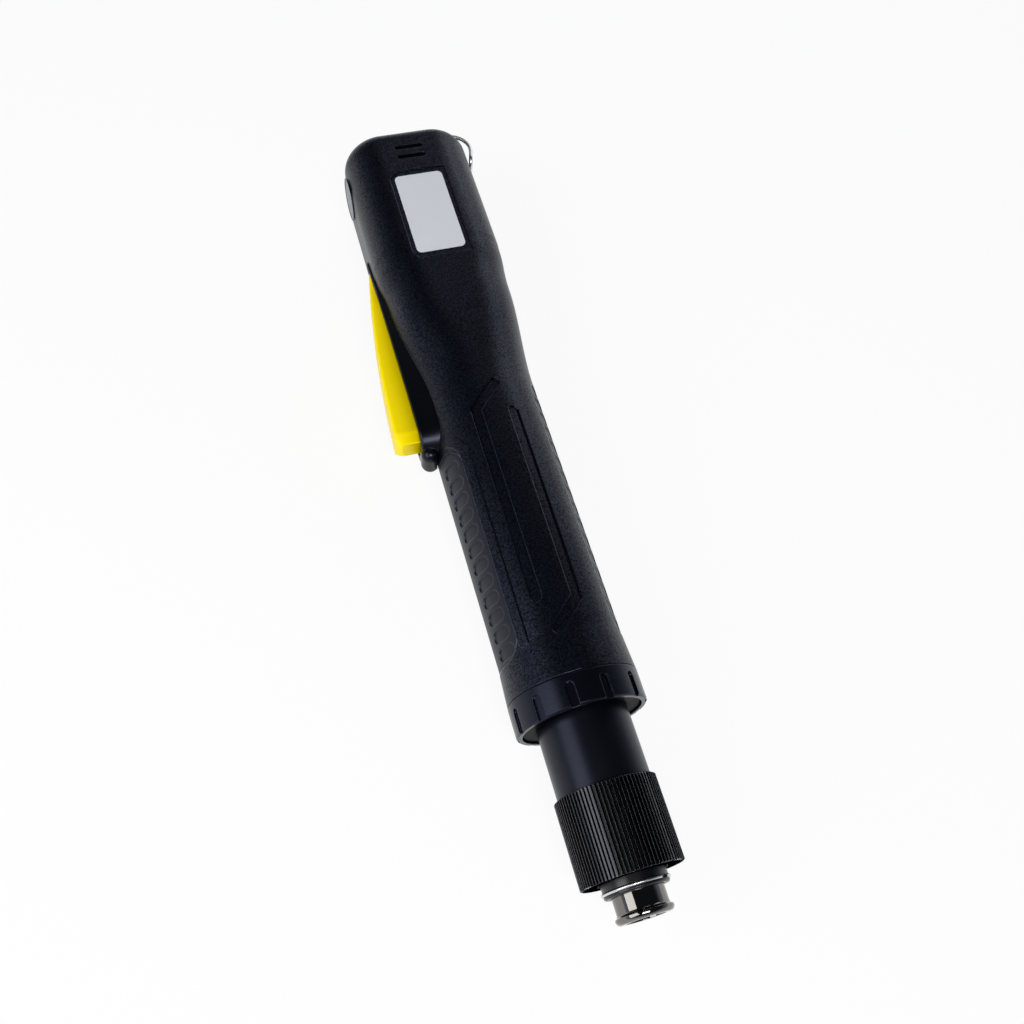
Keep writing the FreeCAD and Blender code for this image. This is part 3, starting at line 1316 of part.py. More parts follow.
def gear_prism(teeth, tip, root, slack, y_low, y_high):
    """Spur gear blank about the tool's axis with one tooth on +Z; slack thins each tooth."""
    pressure = math.radians(PRESSURE_ANGLE)
    pitch = MODULE * teeth / 2
    base = pitch * math.cos(pressure)
    half_pitch = math.pi / (2 * teeth) - slack / (2 * pitch)
    radii = (root, pitch, tip)
    halves = []
    for radius in radii:
        lean = math.acos(min(base / radius, 1.0))
        halves.append(half_pitch + involute(pressure) - involute(lean))
    flank = list(zip([-half for half in halves], radii)) + list(zip(halves[::-1], radii[::-1]))
    points = []
    for index in range(teeth):
        middle = 2 * math.pi * index / teeth
        for lean, radius in flank:
            turn = middle + lean
            points.append(Vector(radius * math.sin(turn), y_low, radius * math.cos(turn)))
    face = Part.Face(Part.makePolygon(points + points[:1]))
    return face.extrude(Vector(0, y_high - y_low, 0))


def sun_pinion():
    """Pinion on the motor's shaft."""
    tip = SUN_RADIUS + 0.9 * MODULE
    end = GEAR_START + GEAR_WIDTH
    gear = gear_prism(SUN_TEETH, tip, SUN_RADIUS - 1.2 * MODULE, BACKLASH, GEAR_START, end)
    return gear.cut(bar(MOTOR_SHAFT_RADIUS + 0.02, GEAR_START - 1, end + 1))


def planet_gears():
    """Three planet gears, each with a tooth pointing at the ring gear."""
    tip = PLANET_RADIUS + 0.9 * MODULE
    end = GEAR_START + GEAR_WIDTH
    gear = gear_prism(PLANET_TEETH, tip, PLANET_RADIUS - 1.2 * MODULE, BACKLASH, GEAR_START, end)
    gear = gear.cut(bar(CARRIER_PIN_RADIUS + RUNNING_GAP, GEAR_START - 1, end + 1))
    gear.translate(Vector(0, 0, PLANET_CIRCLE))
    names = ["planet_gear_" + str(index + 1) for index in range(PLANETS)]
    return dict(zip(names, ring_of(gear, PLANETS)))


def ring_gear():
    """Fixed ring gear with its teeth inside."""
    body = bar(RING_GEAR_RADIUS, RING_GEAR_START, RING_GEAR_END)
    tip = RING_PITCH_RADIUS + 1.2 * MODULE
    root = RING_PITCH_RADIUS - 0.9 * MODULE
    bore = gear_prism(RING_TEETH, tip, root, -BACKLASH, RING_GEAR_START - 1, RING_GEAR_END + 1)
    return body.cut(bore)


def planet_carrier():
    """Carrier pressed on the drive cam's shaft."""
    end = CARRIER_START + CARRIER_THICKNESS
    body = tube(CARRIER_RADIUS, SHAFT_RADIUS + 0.03, CARRIER_START, end)
    hole = bar(CARRIER_PIN_RADIUS + 0.02, CARRIER_START - 1, end + 1, 0, PLANET_CIRCLE)
    return body.cut(ring_of(hole, PLANETS))


def carrier_pins():
    """Pins that the planet gears turn on."""
    post = bar(CARRIER_PIN_RADIUS, CARRIER_START, GEAR_START + GEAR_WIDTH + 1, 0, PLANET_CIRCLE)
    return Part.makeCompound(ring_of(post, PLANETS))


def motor_plate():
    """Plate between the gear and the motor."""
    end = RING_GEAR_END + MOTOR_PLATE
    return tube(RING_GEAR_RADIUS, MOTOR_PILOT_RADIUS, RING_GEAR_END + SEAT_GAP, end)


def motor_can():
    """Steel can of the motor, open at the rear."""
    inner = MOTOR_RADIUS - MOTOR_WALL
    front = MOTOR_START + MOTOR_WALL
    return turned([
        (MOTOR_START, MOTOR_SHAFT_RADIUS + RUNNING_GAP),
        (MOTOR_START, MOTOR_RADIUS - 1),
        (MOTOR_START + 1, MOTOR_RADIUS),
        (MOTOR_END, MOTOR_RADIUS),
        (MOTOR_END, inner),
        (front, inner),
        (front, 4.5),
        (front + 2.5, 4.5),
        (front + 2.5, MOTOR_SHAFT_RADIUS + RUNNING_GAP),
    ])


def motor_magnets():
    """Two magnet shells inside the can."""
    outer = MOTOR_RADIUS - MOTOR_WALL - SEAT_GAP
    start = MOTOR_START + MAGNET_PLACE
    end = start + MAGNET_LENGTH
    inner = outer - MAGNET_THICKNESS
    corners = [(start, inner), (start, outer), (end, outer), (end, inner)]
    wire = Part.makePolygon([Vector(radius, y, 0) for y, radius in corners + corners[:1]])
    magnet = Part.Face(wire).revolve(Vector(0, 0, 0), Y_AXIS, MAGNET_ANGLE)
    return Part.makeCompound(ring_of(magnet, 2))


def rotor():
    """Shaft, slotted core, winding heads and commutator of the motor."""
    core_start = MOTOR_START + MAGNET_PLACE + (MAGNET_LENGTH - ARMATURE_LENGTH) / 2
    core_end = core_start + ARMATURE_LENGTH
    core = bar(ARMATURE_RADIUS, core_start, core_end)
    slot = block((-0.7, 0.7), (core_start - 1, core_end + 1), (ARMATURE_RADIUS - 3.5, FAR))
    core = core.cut(ring_of(slot, ARMATURE_SLOTS))
    winding = bar(ARMATURE_RADIUS - 2.5, core_start - 3, core_end + 3)
    commutator = bar(COMMUTATOR_RADIUS, core_end + 3, COMMUTATOR_END)
    shaft = bar(MOTOR_SHAFT_RADIUS, GEAR_START, MOTOR_END + END_BELL_LENGTH - 1.5)
    return fuse_all([core, winding, commutator, shaft])


def motor_brushes():
    """Pair of carbon brushes."""
    low = COMMUTATOR_RADIUS + SEAT_GAP
    y_span = (BRUSH_Y - 2, BRUSH_Y + 2)
    right = block((low, low + 4), y_span, (-1.6, 1.6))
    return Part.makeCompound(ring_of(right, 2))


def motor_end_bell():
    """Rear cap of the motor with its bearing boss and brush holders."""
    end = MOTOR_END + END_BELL_LENGTH
    spigot = MOTOR_RADIUS - MOTOR_WALL - SEAT_GAP
    cap = turned([
        (MOTOR_END - 3, spigot - 1.6),
        (MOTOR_END - 3, spigot),
        (MOTOR_END + SEAT_GAP, spigot),
        (MOTOR_END + SEAT_GAP, MOTOR_RADIUS),
        (MOTOR_END + 2.5, MOTOR_RADIUS),
        (MOTOR_END + 2.5, 5.0),
        (end, 5.0),
        (end, 0),
        (end - 1.2, 0),
        (end - 1.2, MOTOR_SHAFT_RADIUS + RUNNING_GAP),
        (MOTOR_END + SEAT_GAP, MOTOR_SHAFT_RADIUS + RUNNING_GAP),
        (MOTOR_END + SEAT_GAP, spigot - 1.6),
    ])
    pieces = [cap]
    for sign in (-1, 1):
        span = sorted((sign * (COMMUTATOR_RADIUS + 1.4), sign * (COMMUTATOR_RADIUS + 5.4)))
        pieces.append(block(tuple(span), (BRUSH_Y - 3, MOTOR_END + 1), (-2.8, 2.8)))
    reach = COMMUTATOR_RADIUS + 4.2
    channel = block((-reach, reach), (BRUSH_Y - 2.05, BRUSH_Y + 2.05), (-1.65, 1.65))
    return fuse_all(pieces).cut(channel)


def main():
    """Write each node to a file of its own."""
    os.makedirs("parts", exist_ok=True)
    nodes = housing_shells()
    nodes.update(bearing_parts())
    nodes.update(planet_gears())
    nodes["grip_pad_front"] = grip_pad(-1)
    nodes["grip_pad_back"] = grip_pad(1)
    makers = (
        lever_bezel, lever, lever_pin, lever_spring, start_switch, switch_plunger, switch_holder,
        rating_label, side_badge, hanging_bail, power_socket, socket_insert, socket_pins,
        control_board, board_parts, direction_switch, direction_knob, coupling_ring,
        clutch_housing, torque_nut, spring_seat, clutch_spring, driven_cam, clutch_balls,
        drive_cam, bit_holder, lock_ball, holder_sleeve, retaining_ring, collar,
        collar_snap_ring, collar_spring, sun_pinion, ring_gear, planet_carrier, carrier_pins,
        motor_plate, motor_can, motor_magnets, rotor, motor_brushes, motor_end_bell,
    )
    for maker in makers:
        nodes[maker.__name__] = maker()
    for name, shape in nodes.items():
        shape.exportStep("parts/" + name + ".step")
        box = shape.optimalBoundingBox()
        print(name, shape.isValid(), len(shape.Solids), round(shape.Volume, 1), box)


main()
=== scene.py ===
"""Looks of an electric torque screwdriver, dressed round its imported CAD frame.

The tool lies on its rear face. Its axis is Y, the bit points to -Y, the label faces +Z and the
start lever is on the -X side. Sizes that a class holds are in millimetres; meshes are in metres.
"""

import logging
import math
from collections.abc import Iterable, Sequence
from dataclasses import dataclass
from enum import Enum

import bmesh
import bpy
from bmesh.types import BMEdge, BMesh, BMVert
from bpy.types import NodeSocket, NodeTree
from mathutils import Matrix, Vector


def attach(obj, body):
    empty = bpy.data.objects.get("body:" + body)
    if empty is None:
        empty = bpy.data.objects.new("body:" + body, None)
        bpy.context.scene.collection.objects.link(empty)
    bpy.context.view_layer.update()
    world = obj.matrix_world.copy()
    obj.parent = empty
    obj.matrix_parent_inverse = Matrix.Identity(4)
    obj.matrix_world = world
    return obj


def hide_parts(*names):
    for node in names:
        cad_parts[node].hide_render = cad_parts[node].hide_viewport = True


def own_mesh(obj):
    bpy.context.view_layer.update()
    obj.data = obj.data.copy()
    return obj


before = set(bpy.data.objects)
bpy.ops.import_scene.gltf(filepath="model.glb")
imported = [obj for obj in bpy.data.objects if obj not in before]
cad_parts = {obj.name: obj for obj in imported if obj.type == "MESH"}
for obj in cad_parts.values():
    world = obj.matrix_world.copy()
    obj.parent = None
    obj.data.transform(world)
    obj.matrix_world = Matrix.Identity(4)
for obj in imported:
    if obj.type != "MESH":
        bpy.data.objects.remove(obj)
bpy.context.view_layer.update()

LOG = logging.getLogger("screwdriver")
MM = 0.001
Point = tuple[float, float, float]

# Shapes: faces at less than this many degrees shade as one, points this near in metres merge, and
# a bend has one step for each so many degrees
SMOOTH_BELOW = 40.0
MERGE_OWN = 1e-7
MERGE_COPY = 1e-6
BEND_STEP = 9

# Grain and slow drift of the tone; a drift scale of 65 makes patches of about 15 mm
GRAIN_DETAIL = 3.0
GRAIN_ROUGHNESS = 0.55
DRIFT_SCALE = 65.0
DRIFT_DETAIL = 2.0
GRAIN_SPAN = (0.35, 0.65)

# Masks: agreement of the eased and the true normal, painted shade in crevices, and painted shade on
# faces by how far they look along Y
RAY_SAMPLES = 6
EDGE_SPAN = (1.0, 0.8)
PAINTED_SHADE_SPAN = (0.35, 0.85)
PAINTED_SHADE_RANGE = (0.05, 1.0)
PAINTED_END_SPAN = (0.7, 0.95)


class Lay(Enum):
    """Which way the marks of making run, as the stretch of the grain on X, Y and Z."""

    EVEN = (1.0, 1.0, 1.0)
    AROUND = (0.04, 1.0, 0.04)
    ALONG = (1.0, 0.04, 1.0)


def linear(colour: str) -> tuple[float, float, float, float]:
    """Turn an sRGB hex colour into linear light.

    Args:
        colour: Six hex digits after a hash.

    Returns:
        Linear red, green and blue, and an alpha of 1.
    """
    values = [int(colour[i : i + 2], 16) / 255 for i in (1, 3, 5)]
    parts = [v / 12.92 if v <= 0.04045 else ((v + 0.055) / 1.055) ** 2.4 for v in values]
    return (*parts, 1.0)


def blank_tree(owner: bpy.types.Material | bpy.types.World) -> NodeTree:
    """Give a material or world an empty node tree.

    Args:
        owner: The material or world.

    Returns:
        Its node tree.
    """
    owner.use_nodes = True
    owner.node_tree.nodes.clear()
    return owner.node_tree


def add_node(
    tree: NodeTree, kind: str, settings: dict[str, object] | None = None, **inputs: object
) -> bpy.types.Node:
    """Add a shader node, set it up and link what feeds it.

    Args:
        tree: Node tree of a material or world.
        kind: Blender's name of the node type.
        settings: Properties of the node itself.
        inputs: Socket values or output sockets. An underscore stands for a space, and _0, _1 and
            so on stand for the socket's number.

    Returns:
        The new node.
    """
    node = tree.nodes.new(kind)
    for name, value in (settings or {}).items():
        setattr(node, name, value)
    for name, value in inputs.items():
        socket = node.inputs[int(name[1:]) if name[1:].isdigit() else name.replace("_", " ")]
        if isinstance(value, NodeSocket):
            tree.links.new(value, socket)
        else:
            socket.default_value = value
    return node


def combine(tree: NodeTree, operation: str, first: object, second: object) -> NodeSocket:
    """Combine two values.

    Args:
        tree: Node tree of a material.
        operation: Blender's name of the sum.
        first: Output socket or number.
        second: Output socket or number.

    Returns:
        Output socket with the result.
    """
    node = add_node(tree, "ShaderNodeMath", {"operation": operation}, _0=first, _1=second)
    return node.outputs[0]


def remap(
    tree: NodeTree, value: NodeSocket, source: tuple[float, float] = (0.0, 1.0),
    target: tuple[float, float] = (0.0, 1.0), interpolation: str = "LINEAR",
) -> NodeSocket:
    """Carry a value from one range over to another, held at the ends.

    Args:
        tree: Node tree of a material or world.
        value: Output socket with the value.
        source: Ends of its range.
        target: What those ends turn into.
        interpolation: Blender's name of the curve between them.

    Returns:
        Output socket with the result.
    """
    node = add_node(
        tree, "ShaderNodeMapRange", {"interpolation_type": interpolation}, Value=value,
        From_Min=source[0], From_Max=source[1], To_Min=target[0], To_Max=target[1],
    )
    return node.outputs["Result"]


@dataclass(frozen=True)
class Finish:
    """A surface as it leaves the maker.

    The colour drifts between two near tones, and fine grain moves both the gloss and the relief.
    Edges are eased by a small radius and rubbed a little smoother than the faces. Painted shade
    dims the reflection in narrow crevices and, where asked, on end faces that look along the tool's
    axis.

    Attributes:
        name: Name of the material.
        colour, shade: The two tones, as sRGB hex.
        roughness, metallic, specular: As Blender's principled shader takes them.
        grain_mm, relief_mm: Size and height of the grain.
        gloss_spread: How far the grain moves the roughness either way.
        lay: Which way the grain runs.
        edge_mm: Radius of the eased edges.
        rub: How much smoother and brighter the edges are.
        painted_shade_mm: How wide a crevice may be and still be darkened by painted shade.
        sparkle: Share by which single grains reflect more or less.
        painted_shade_end_share: Share of the reflection that faces along the tool's axis keep under
            painted shade.
        sheen: Tint of the reflection, as sRGB hex.
    """

    name: str
    colour: str
    shade: str
    roughness: float
    metallic: float = 0.0
    specular: float = 0.5
    grain_mm: float = 0.5
    relief_mm: float = 0.01
    gloss_spread: float = 0.06
    lay: Lay = Lay.EVEN
    edge_mm: float = 0.0
    rub: float = 0.0
    painted_shade_mm: float = 0.0
    sparkle: float = 0.0
    painted_shade_end_share: float = 1.0
    sheen: str = "#ffffff"

    def grain(self, tree: NodeTree) -> NodeSocket:
        """Height of the fine grain.

        Args:
            tree: Node tree of the material.

        Returns:
            Output socket with values of about 0 to 1.
        """
        place = add_node(tree, "ShaderNodeTexCoord").outputs["Object"]
        turned = add_node(tree, "ShaderNodeMapping", Vector=place, Scale=self.lay.value)
        noise = add_node(
            tree, "ShaderNodeTexNoise", Vector=turned.outputs["Vector"],
            Scale=1.0 / (self.grain_mm * MM), Detail=GRAIN_DETAIL, Roughness=GRAIN_ROUGHNESS,
        )
        return noise.outputs["Fac"]

    def tone(self, tree: NodeTree) -> NodeSocket:
        """Slow drift between the finish's two tones.

        Args:
            tree: Node tree of the material.

        Returns:
            Output socket with the colour.
        """
        place = add_node(tree, "ShaderNodeTexCoord").outputs["Object"]
        cloud = add_node(
            tree, "ShaderNodeTexNoise", Vector=place, Scale=DRIFT_SCALE, Detail=DRIFT_DETAIL
        )
        mixed = add_node(
            tree, "ShaderNodeMix", {"data_type": "RGBA"},
            _0=cloud.outputs["Fac"], _6=linear(self.colour), _7=linear(self.shade),
        )
        return mixed.outputs[2]

    def edge(self, tree: NodeTree) -> tuple[NodeSocket, NodeSocket]:
        """Eased edges and where they are.

        Args:
            tree: Node tree of the material.

        Returns:
            The eased normal, and a mask that is 0 on faces and rises towards 1 on edges.
        """
        bevel = add_node(
            tree, "ShaderNodeBevel", {"samples": RAY_SAMPLES}, Radius=self.edge_mm * MM
        )
        eased = bevel.outputs["Normal"]
        true = add_node(tree, "ShaderNodeNewGeometry").outputs["Normal"]
        agree = add_node(
            tree, "ShaderNodeVectorMath", {"operation": "DOT_PRODUCT"}, _0=eased, _1=true
        )
        return eased, remap(tree, agree.outputs["Value"], EDGE_SPAN)

    def painted_crevice_shade(self, tree: NodeTree) -> NodeSocket:
        """Painted shade in crevices: 1 on faces, near 0 down in grooves and joints.

        Args:
            tree: Node tree of the material.

        Returns:
            Output socket with the share of the reflection that the painted shade leaves.
        """
        hidden = add_node(
            tree, "ShaderNodeAmbientOcclusion", {"samples": RAY_SAMPLES},
            Distance=self.painted_shade_mm * MM,
        )
        return remap(tree, hidden.outputs["AO"], PAINTED_SHADE_SPAN, PAINTED_SHADE_RANGE)

    def painted_end_shade(self, tree: NodeTree) -> NodeSocket:
        """Painted shade on end faces: the reflection stays whole on turned sides and is dimmed on
        faces that look along the tool's axis.

        Args:
            tree: Node tree of the material.

        Returns:
            Output socket with the share.
        """
        facing = add_node(tree, "ShaderNodeTexCoord").outputs["Normal"]
        along = add_node(tree, "ShaderNodeSeparateXYZ", Vector=facing).outputs["Y"]
        steep = add_node(tree, "ShaderNodeMath", {"operation": "ABSOLUTE"}, _0=along)
        return remap(tree, steep.outputs[0], PAINTED_END_SPAN, (1.0, self.painted_shade_end_share))

    def shine(self, tree: NodeTree, height: NodeSocket) -> float | NodeSocket:
        """Strength of the reflection, with its painted shade, before the edges are rubbed.

        Args:
            tree: Node tree of the material.
            height: Output socket with the grain's height.

        Returns:
            A number, or the output socket that gives it.
        """
        shine: float | NodeSocket = self.specular
        if self.sparkle:
            dull, bright = 1 - self.sparkle, 1 + self.sparkle
            shine = remap(tree, height, GRAIN_SPAN, (self.specular * dull, self.specular * bright))
        # Painted shade: the reflection dims in narrow crevices
        if self.painted_shade_mm:
            shine = combine(tree, "MULTIPLY", self.painted_crevice_shade(tree), shine)
        # Painted shade: faces that look along the tool's axis lose reflection
        if self.painted_shade_end_share < 1:
            shine = combine(tree, "MULTIPLY", self.painted_end_shade(tree), shine)
        return shine

    def build(self) -> bpy.types.Material:
        """Make the material.

        Returns:
            The finished material.
        """
        material = bpy.data.materials.new(self.name)
        tree = blank_tree(material)
        height = self.grain(tree)
        low, high = self.roughness - self.gloss_spread, self.roughness + self.gloss_spread
        gloss = remap(tree, height, target=(low, high))
        bump = add_node(
            tree, "ShaderNodeBump", Strength=1.0, Distance=self.relief_mm * MM, Height=height
        )
        shine = self.shine(tree, height)
        if self.edge_mm:
            eased, mask = self.edge(tree)
            tree.links.new(eased, bump.inputs["Normal"])
            worn = combine(tree, "MULTIPLY", mask, self.rub)
            gloss = combine(tree, "SUBTRACT", gloss, worn)
            shine = combine(tree, "ADD", shine, worn)
        shader = add_node(
            tree, "ShaderNodeBsdfPrincipled", Base_Color=self.tone(tree), Roughness=gloss,
            Metallic=self.metallic, Specular_IOR_Level=shine, Specular_Tint=linear(self.sheen),
            Normal=bump.outputs["Normal"],
        )
        add_node(tree, "ShaderNodeOutputMaterial", Surface=shader.outputs["BSDF"])
        return material

    def material(self) -> bpy.types.Material:
        """The finish's material, made once.

        Returns:
            The material.
        """
        return bpy.data.materials.get(self.name) or self.build()


# Glass-filled nylon from a spark-eroded mould: blue-black with a fine sparkling grain, rubbed edges
# and painted shade in its crevices
SPARK_NYLON = Finish(
    "spark_textured_nylon", "#05070c", "#030509", 0.34, specular=0.3, grain_mm=0.55,
    relief_mm=0.07, gloss_spread=0.1, edge_mm=0.45, rub=0.3, painted_shade_mm=0.8, sparkle=0.8,
    sheen="#ccd6ff",
)
# Thermoplastic rubber of the pads: neutral black, drier and softer than the shell
ELASTOMER = Finish(
    "matt_thermoplastic_rubber", "#09090c", "#070709", 0.46, specular=0.4, grain_mm=0.35,
    relief_mm=0.02, edge_mm=0.8, rub=0.2, sheen="#d8e0ff",
)
# Polished ABS of the bezel: glossy, with the faint waves of a polished mould
POLISHED_ABS = Finish(
    "polished_black_abs", "#07080b", "#050608", 0.26, specular=0.3, grain_mm=4.0, relief_mm=0.008,
    gloss_spread=0.03, edge_mm=0.35, rub=0.14, sheen="#d8e0ff",
)
# Satin moulded nylon of the coupling ring: glossier than the shell, slightly rubbed edges
SATIN_NYLON = Finish(
    "satin_moulded_nylon", "#05060b", "#040509", 0.28, specular=0.34, grain_mm=0.4,
    relief_mm=0.005, edge_mm=0.35, rub=0.16, sheen="#c8d4ff",
)
# Coloured ABS of the lever: strong warm yellow with a satin skin
LEVER_ABS = Finish(
    "yellow_moulded_abs", "#ffe600", "#ffe000", 0.42, specular=0.25, grain_mm=0.6, relief_mm=0.006,
    gloss_spread=0.04, sheen="#fff2a0",
)
# Aluminium, turned, then bead blasted and anodised black: soft sheen, faint rings round the tube,
# painted shade in crevices and on end faces
BLACK_ANODISED = Finish(
    "black_anodised_aluminium", "#05070c", "#040509", 0.33, specular=0.32, grain_mm=0.18,
    relief_mm=0.004, lay=Lay.AROUND, painted_shade_mm=3.0, painted_shade_end_share=0.03, sheen="#d4dcff",
)
# The same aluminium, knurled: black, with painted shade in the valleys and on the end faces, crests
# burnished by fingers
KNURLED_ANODISED = Finish(
    "knurled_black_aluminium", "#030304", "#020203", 0.2, specular=1.0, grain_mm=0.6,
    relief_mm=0.002, gloss_spread=0.02, edge_mm=0.1, rub=0.12, painted_shade_mm=1.0, painted_shade_end_share=0.0,
    sheen="#f0f3ff",
)
# Dark nickel-chrome plate of the release collar: a smoky mirror
DARK_CHROME = Finish(
    "dark_chrome_plate", "#7d7a77", "#75726f", 0.06, metallic=1.0, grain_mm=2.5, relief_mm=0.002,
    gloss_spread=0.02,
)
# Black oxide on turned steel: nearly black with an oily sheen
BLACK_OXIDE = Finish(
    "black_oxide_steel", "#0b0b0e", "#08080b", 0.3, specular=0.5, grain_mm=0.2, relief_mm=0.003,
    lay=Lay.AROUND,
)
# Zinc-plated alloy steel of the screws, passivated black
SCREW_STEEL = Finish(
    "black_zinc_plated_steel", "#202125", "#17181b", 0.32, metallic=0.6, grain_mm=0.3,
    relief_mm=0.003, edge_mm=0.1, rub=0.1,
)
# Ground tool steel of shafts, cams, races and balls
GROUND_STEEL = Finish(
    "ground_tool_steel", "#a7a8aa", "#939497", 0.22, metallic=1.0, grain_mm=0.15, relief_mm=0.002,
    lay=Lay.AROUND,
)
# Hobbed and case-hardened gear steel: darker, with a dull grey skin
GEAR_STEEL = Finish(
    "hobbed_gear_steel", "#85868a", "#74757a", 0.34, metallic=1.0, grain_mm=0.2, relief_mm=0.003,
    lay=Lay.ALONG,
)
# Drawn stainless wire of the bail, springs and rings
BRIGHT_WIRE = Finish(
    "drawn_stainless_wire", "#e2e3e5", "#d2d3d6", 0.3, metallic=1.0, grain_mm=0.5, relief_mm=0.002,
)
# Zinc-plated sheet steel of the motor can
ZINC_SHEET = Finish(
    "zinc_plated_sheet_steel", "#9ea0a3", "#8a8c90", 0.3, metallic=1.0, grain_mm=0.8,
    relief_mm=0.004,
)
# Satin polyester film of the stickers, left bare: light grey, a very fine fibre
SILVER_FILM = Finish(
    "satin_polyester_film", "#dadde3", "#d3d6dc", 0.42, grain_mm=0.6, relief_mm=0.003,
    gloss_spread=0.05,
)
# The same film of the round badge, greyer
GREY_FILM = Finish(
    "grey_polyester_film", "#787b85", "#6b6e78", 0.4, grain_mm=1.2, relief_mm=0.004,
    gloss_spread=0.05,
)
# Solder mask over glass-fibre board
SOLDER_MASK = Finish("green_solder_mask", "#0e5a2b", "#0a4c22", 0.3, grain_mm=0.8, relief_mm=0.006)
# Moulded epoxy of chips, switches and connectors
EPOXY = Finish(
    "moulded_epoxy", "#151518", "#101012", 0.45, grain_mm=0.3, relief_mm=0.01, edge_mm=0.12,
    rub=0.1,
)
# Sintered ferrite of the magnets: dull charcoal with fine pores
FERRITE = Finish("sintered_ferrite", "#333335", "#28282a", 0.65, grain_mm=0.25, relief_mm=0.02)
# Pressed graphite of the brushes
GRAPHITE = Finish(
    "pressed_graphite", "#2a2a2c", "#202022", 0.55, metallic=0.3, grain_mm=0.2, relief_mm=0.01,
)
# Gold flash over brass contacts
GOLD_FLASH = Finish(
    "gold_flashed_brass", "#d8b25a", "#c9a24c", 0.2, metallic=1.0, grain_mm=0.5, relief_mm=0.002,
)


def spun(outline: Sequence[tuple[float, float]], steps: int = 160) -> BMesh:
    """Turn a closed outline about the tool's axis.

    Args:
        outline: Corners as (place along the tool, radius), in millimetres.
        steps: Steps of the full turn.

    Returns:
        A closed shape.
    """
    shape = bmesh.new()
    corners = [shape.verts.new((radius * MM, y * MM, 0.0)) for y, radius in outline]
    rim = [shape.edges.new(pair) for pair in zip(corners, corners[1:] + corners[:1])]
    bmesh.ops.spin(
        shape, geom=corners + rim, cent=(0, 0, 0), axis=(0, 1, 0), angle=math.tau, steps=steps,
        use_merge=True,
    )
    bmesh.ops.remove_doubles(shape, verts=shape.verts, dist=MERGE_OWN)
    bmesh.ops.recalc_face_normals(shape, faces=shape.faces)
    return shape


def ease_edges(shape: BMesh, radius: float, least_turn: float = 25.0, segments: int = 3) -> None:
    """Round the sharp edges of a shape.

    Args:
        shape: The shape, changed in place.
        radius: How far from the edge the round begins, in millimetres.
        least_turn: Angle between two faces above which their edge counts as sharp, in degrees.
        segments: Steps of the round.
    """
    limit = math.radians(least_turn)
    sharp = [e for e in shape.edges if len(e.link_faces) == 2 and e.calc_face_angle(0.0) > limit]
    bmesh.ops.bevel(
        shape, geom=sharp, offset=radius * MM, offset_type="OFFSET", affect="EDGES",
        segments=segments, profile=0.5, material=-1, clamp_overlap=True,
    )


def edge_fall(depth: float, radius: float) -> float:
    """How far a rounded edge falls.

    Args:
        depth: How far in from the side, in millimetres.
        radius: Radius of the round.

    Returns:
        The fall in millimetres, 0 past the round.
    """
    if depth >= radius:
        return 0.0
    return radius - math.sqrt(max(radius * radius - (radius - depth) ** 2, 0.0))


def add_peg(shape: BMesh, radius: float, start: Vector, end: Vector) -> None:
    """Add a round peg to a shape.

    Args:
        shape: The shape, changed in place.
        radius: Radius of the peg, in millimetres.
        start: Centre of one end.
        end: Centre of the other end.
    """
    turn = Vector((0, 0, 1)).rotation_difference(end - start).to_matrix().to_4x4()
    bmesh.ops.create_cone(
        shape, cap_ends=True, segments=40, radius1=radius * MM, radius2=radius * MM,
        depth=(end - start).length * MM,
        matrix=Matrix.Translation((start + end) / 2 * MM) @ turn,
    )


def add_block(shape: BMesh, low: Vector, high: Vector) -> None:
    """Add a block to a shape.

    Args:
        shape: The shape, changed in place.
        low: Its lowest corner, in millimetres.
        high: Its highest corner.
    """
    size = Matrix.Diagonal((*((high - low) * MM), 1.0))
    centre = Matrix.Translation((low + high) / 2 * MM)
    bmesh.ops.create_cube(shape, size=1.0, matrix=centre @ size)


def copied(node: str, turned: float = 0.0) -> BMesh:
    """Copy a CAD node's shape and join its loose triangles.

    Args:
        node: Name of the node.
        turned: Turn of the copy about the tool's axis, in degrees.

    Returns:
        The copy.
    """
    shape = bmesh.new()
    shape.from_mesh(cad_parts[node].data)
    bmesh.ops.remove_doubles(shape, verts=shape.verts, dist=MERGE_COPY)
    if turned:
        turn = Matrix.Rotation(math.radians(turned), 3, "Y")
        bmesh.ops.rotate(shape, verts=shape.verts, cent=(0, 0, 0), matrix=turn)
    return shape


def drawn_on(shape: BMesh, edges: Sequence[BMEdge]) -> list[BMVert]:
    """Draw a row of edges out into new faces that still lie on it.

    Args:
        shape: The shape, changed in place.
        edges: The row.

    Returns:
        Corners of the new row.
    """
    drawn = bmesh.ops.extrude_edge_only(shape, edges=edges)["geom"]
    return [item for item in drawn if isinstance(item, BMVert)]


def edges_among(shape: BMesh, corners: Iterable[BMVert]) -> list[BMEdge]:
    """Edges whose two ends are both among some corners.

    Args:
        shape: The shape.
        corners: The corners.

    Returns:
        The edges, in the shape's order.
    """
    live = set(corners)
    return [edge for edge in shape.edges if edge.verts[0] in live and edge.verts[1] in live]


def put_in_scene(name: str, data: bpy.types.ID) -> bpy.types.Object:
    """Make an object and link it to the scene.

    Args:
        name: Name of the object.
        data: Its mesh, lamp or camera.

    Returns:
        The object.
    """
    item = bpy.data.objects.new(name, data)
    bpy.context.scene.collection.objects.link(item)
    return item


def mesh_of(name: str, shape: BMesh) -> bpy.types.Mesh:
    """Turn a shape into a mesh.

    Args:
        name: Name of the mesh.
        shape: The shape; it is freed.

    Returns:
        The mesh.
    """
    mesh = bpy.data.meshes.new(name)
    shape.to_mesh(mesh)
    shape.free()
    return mesh


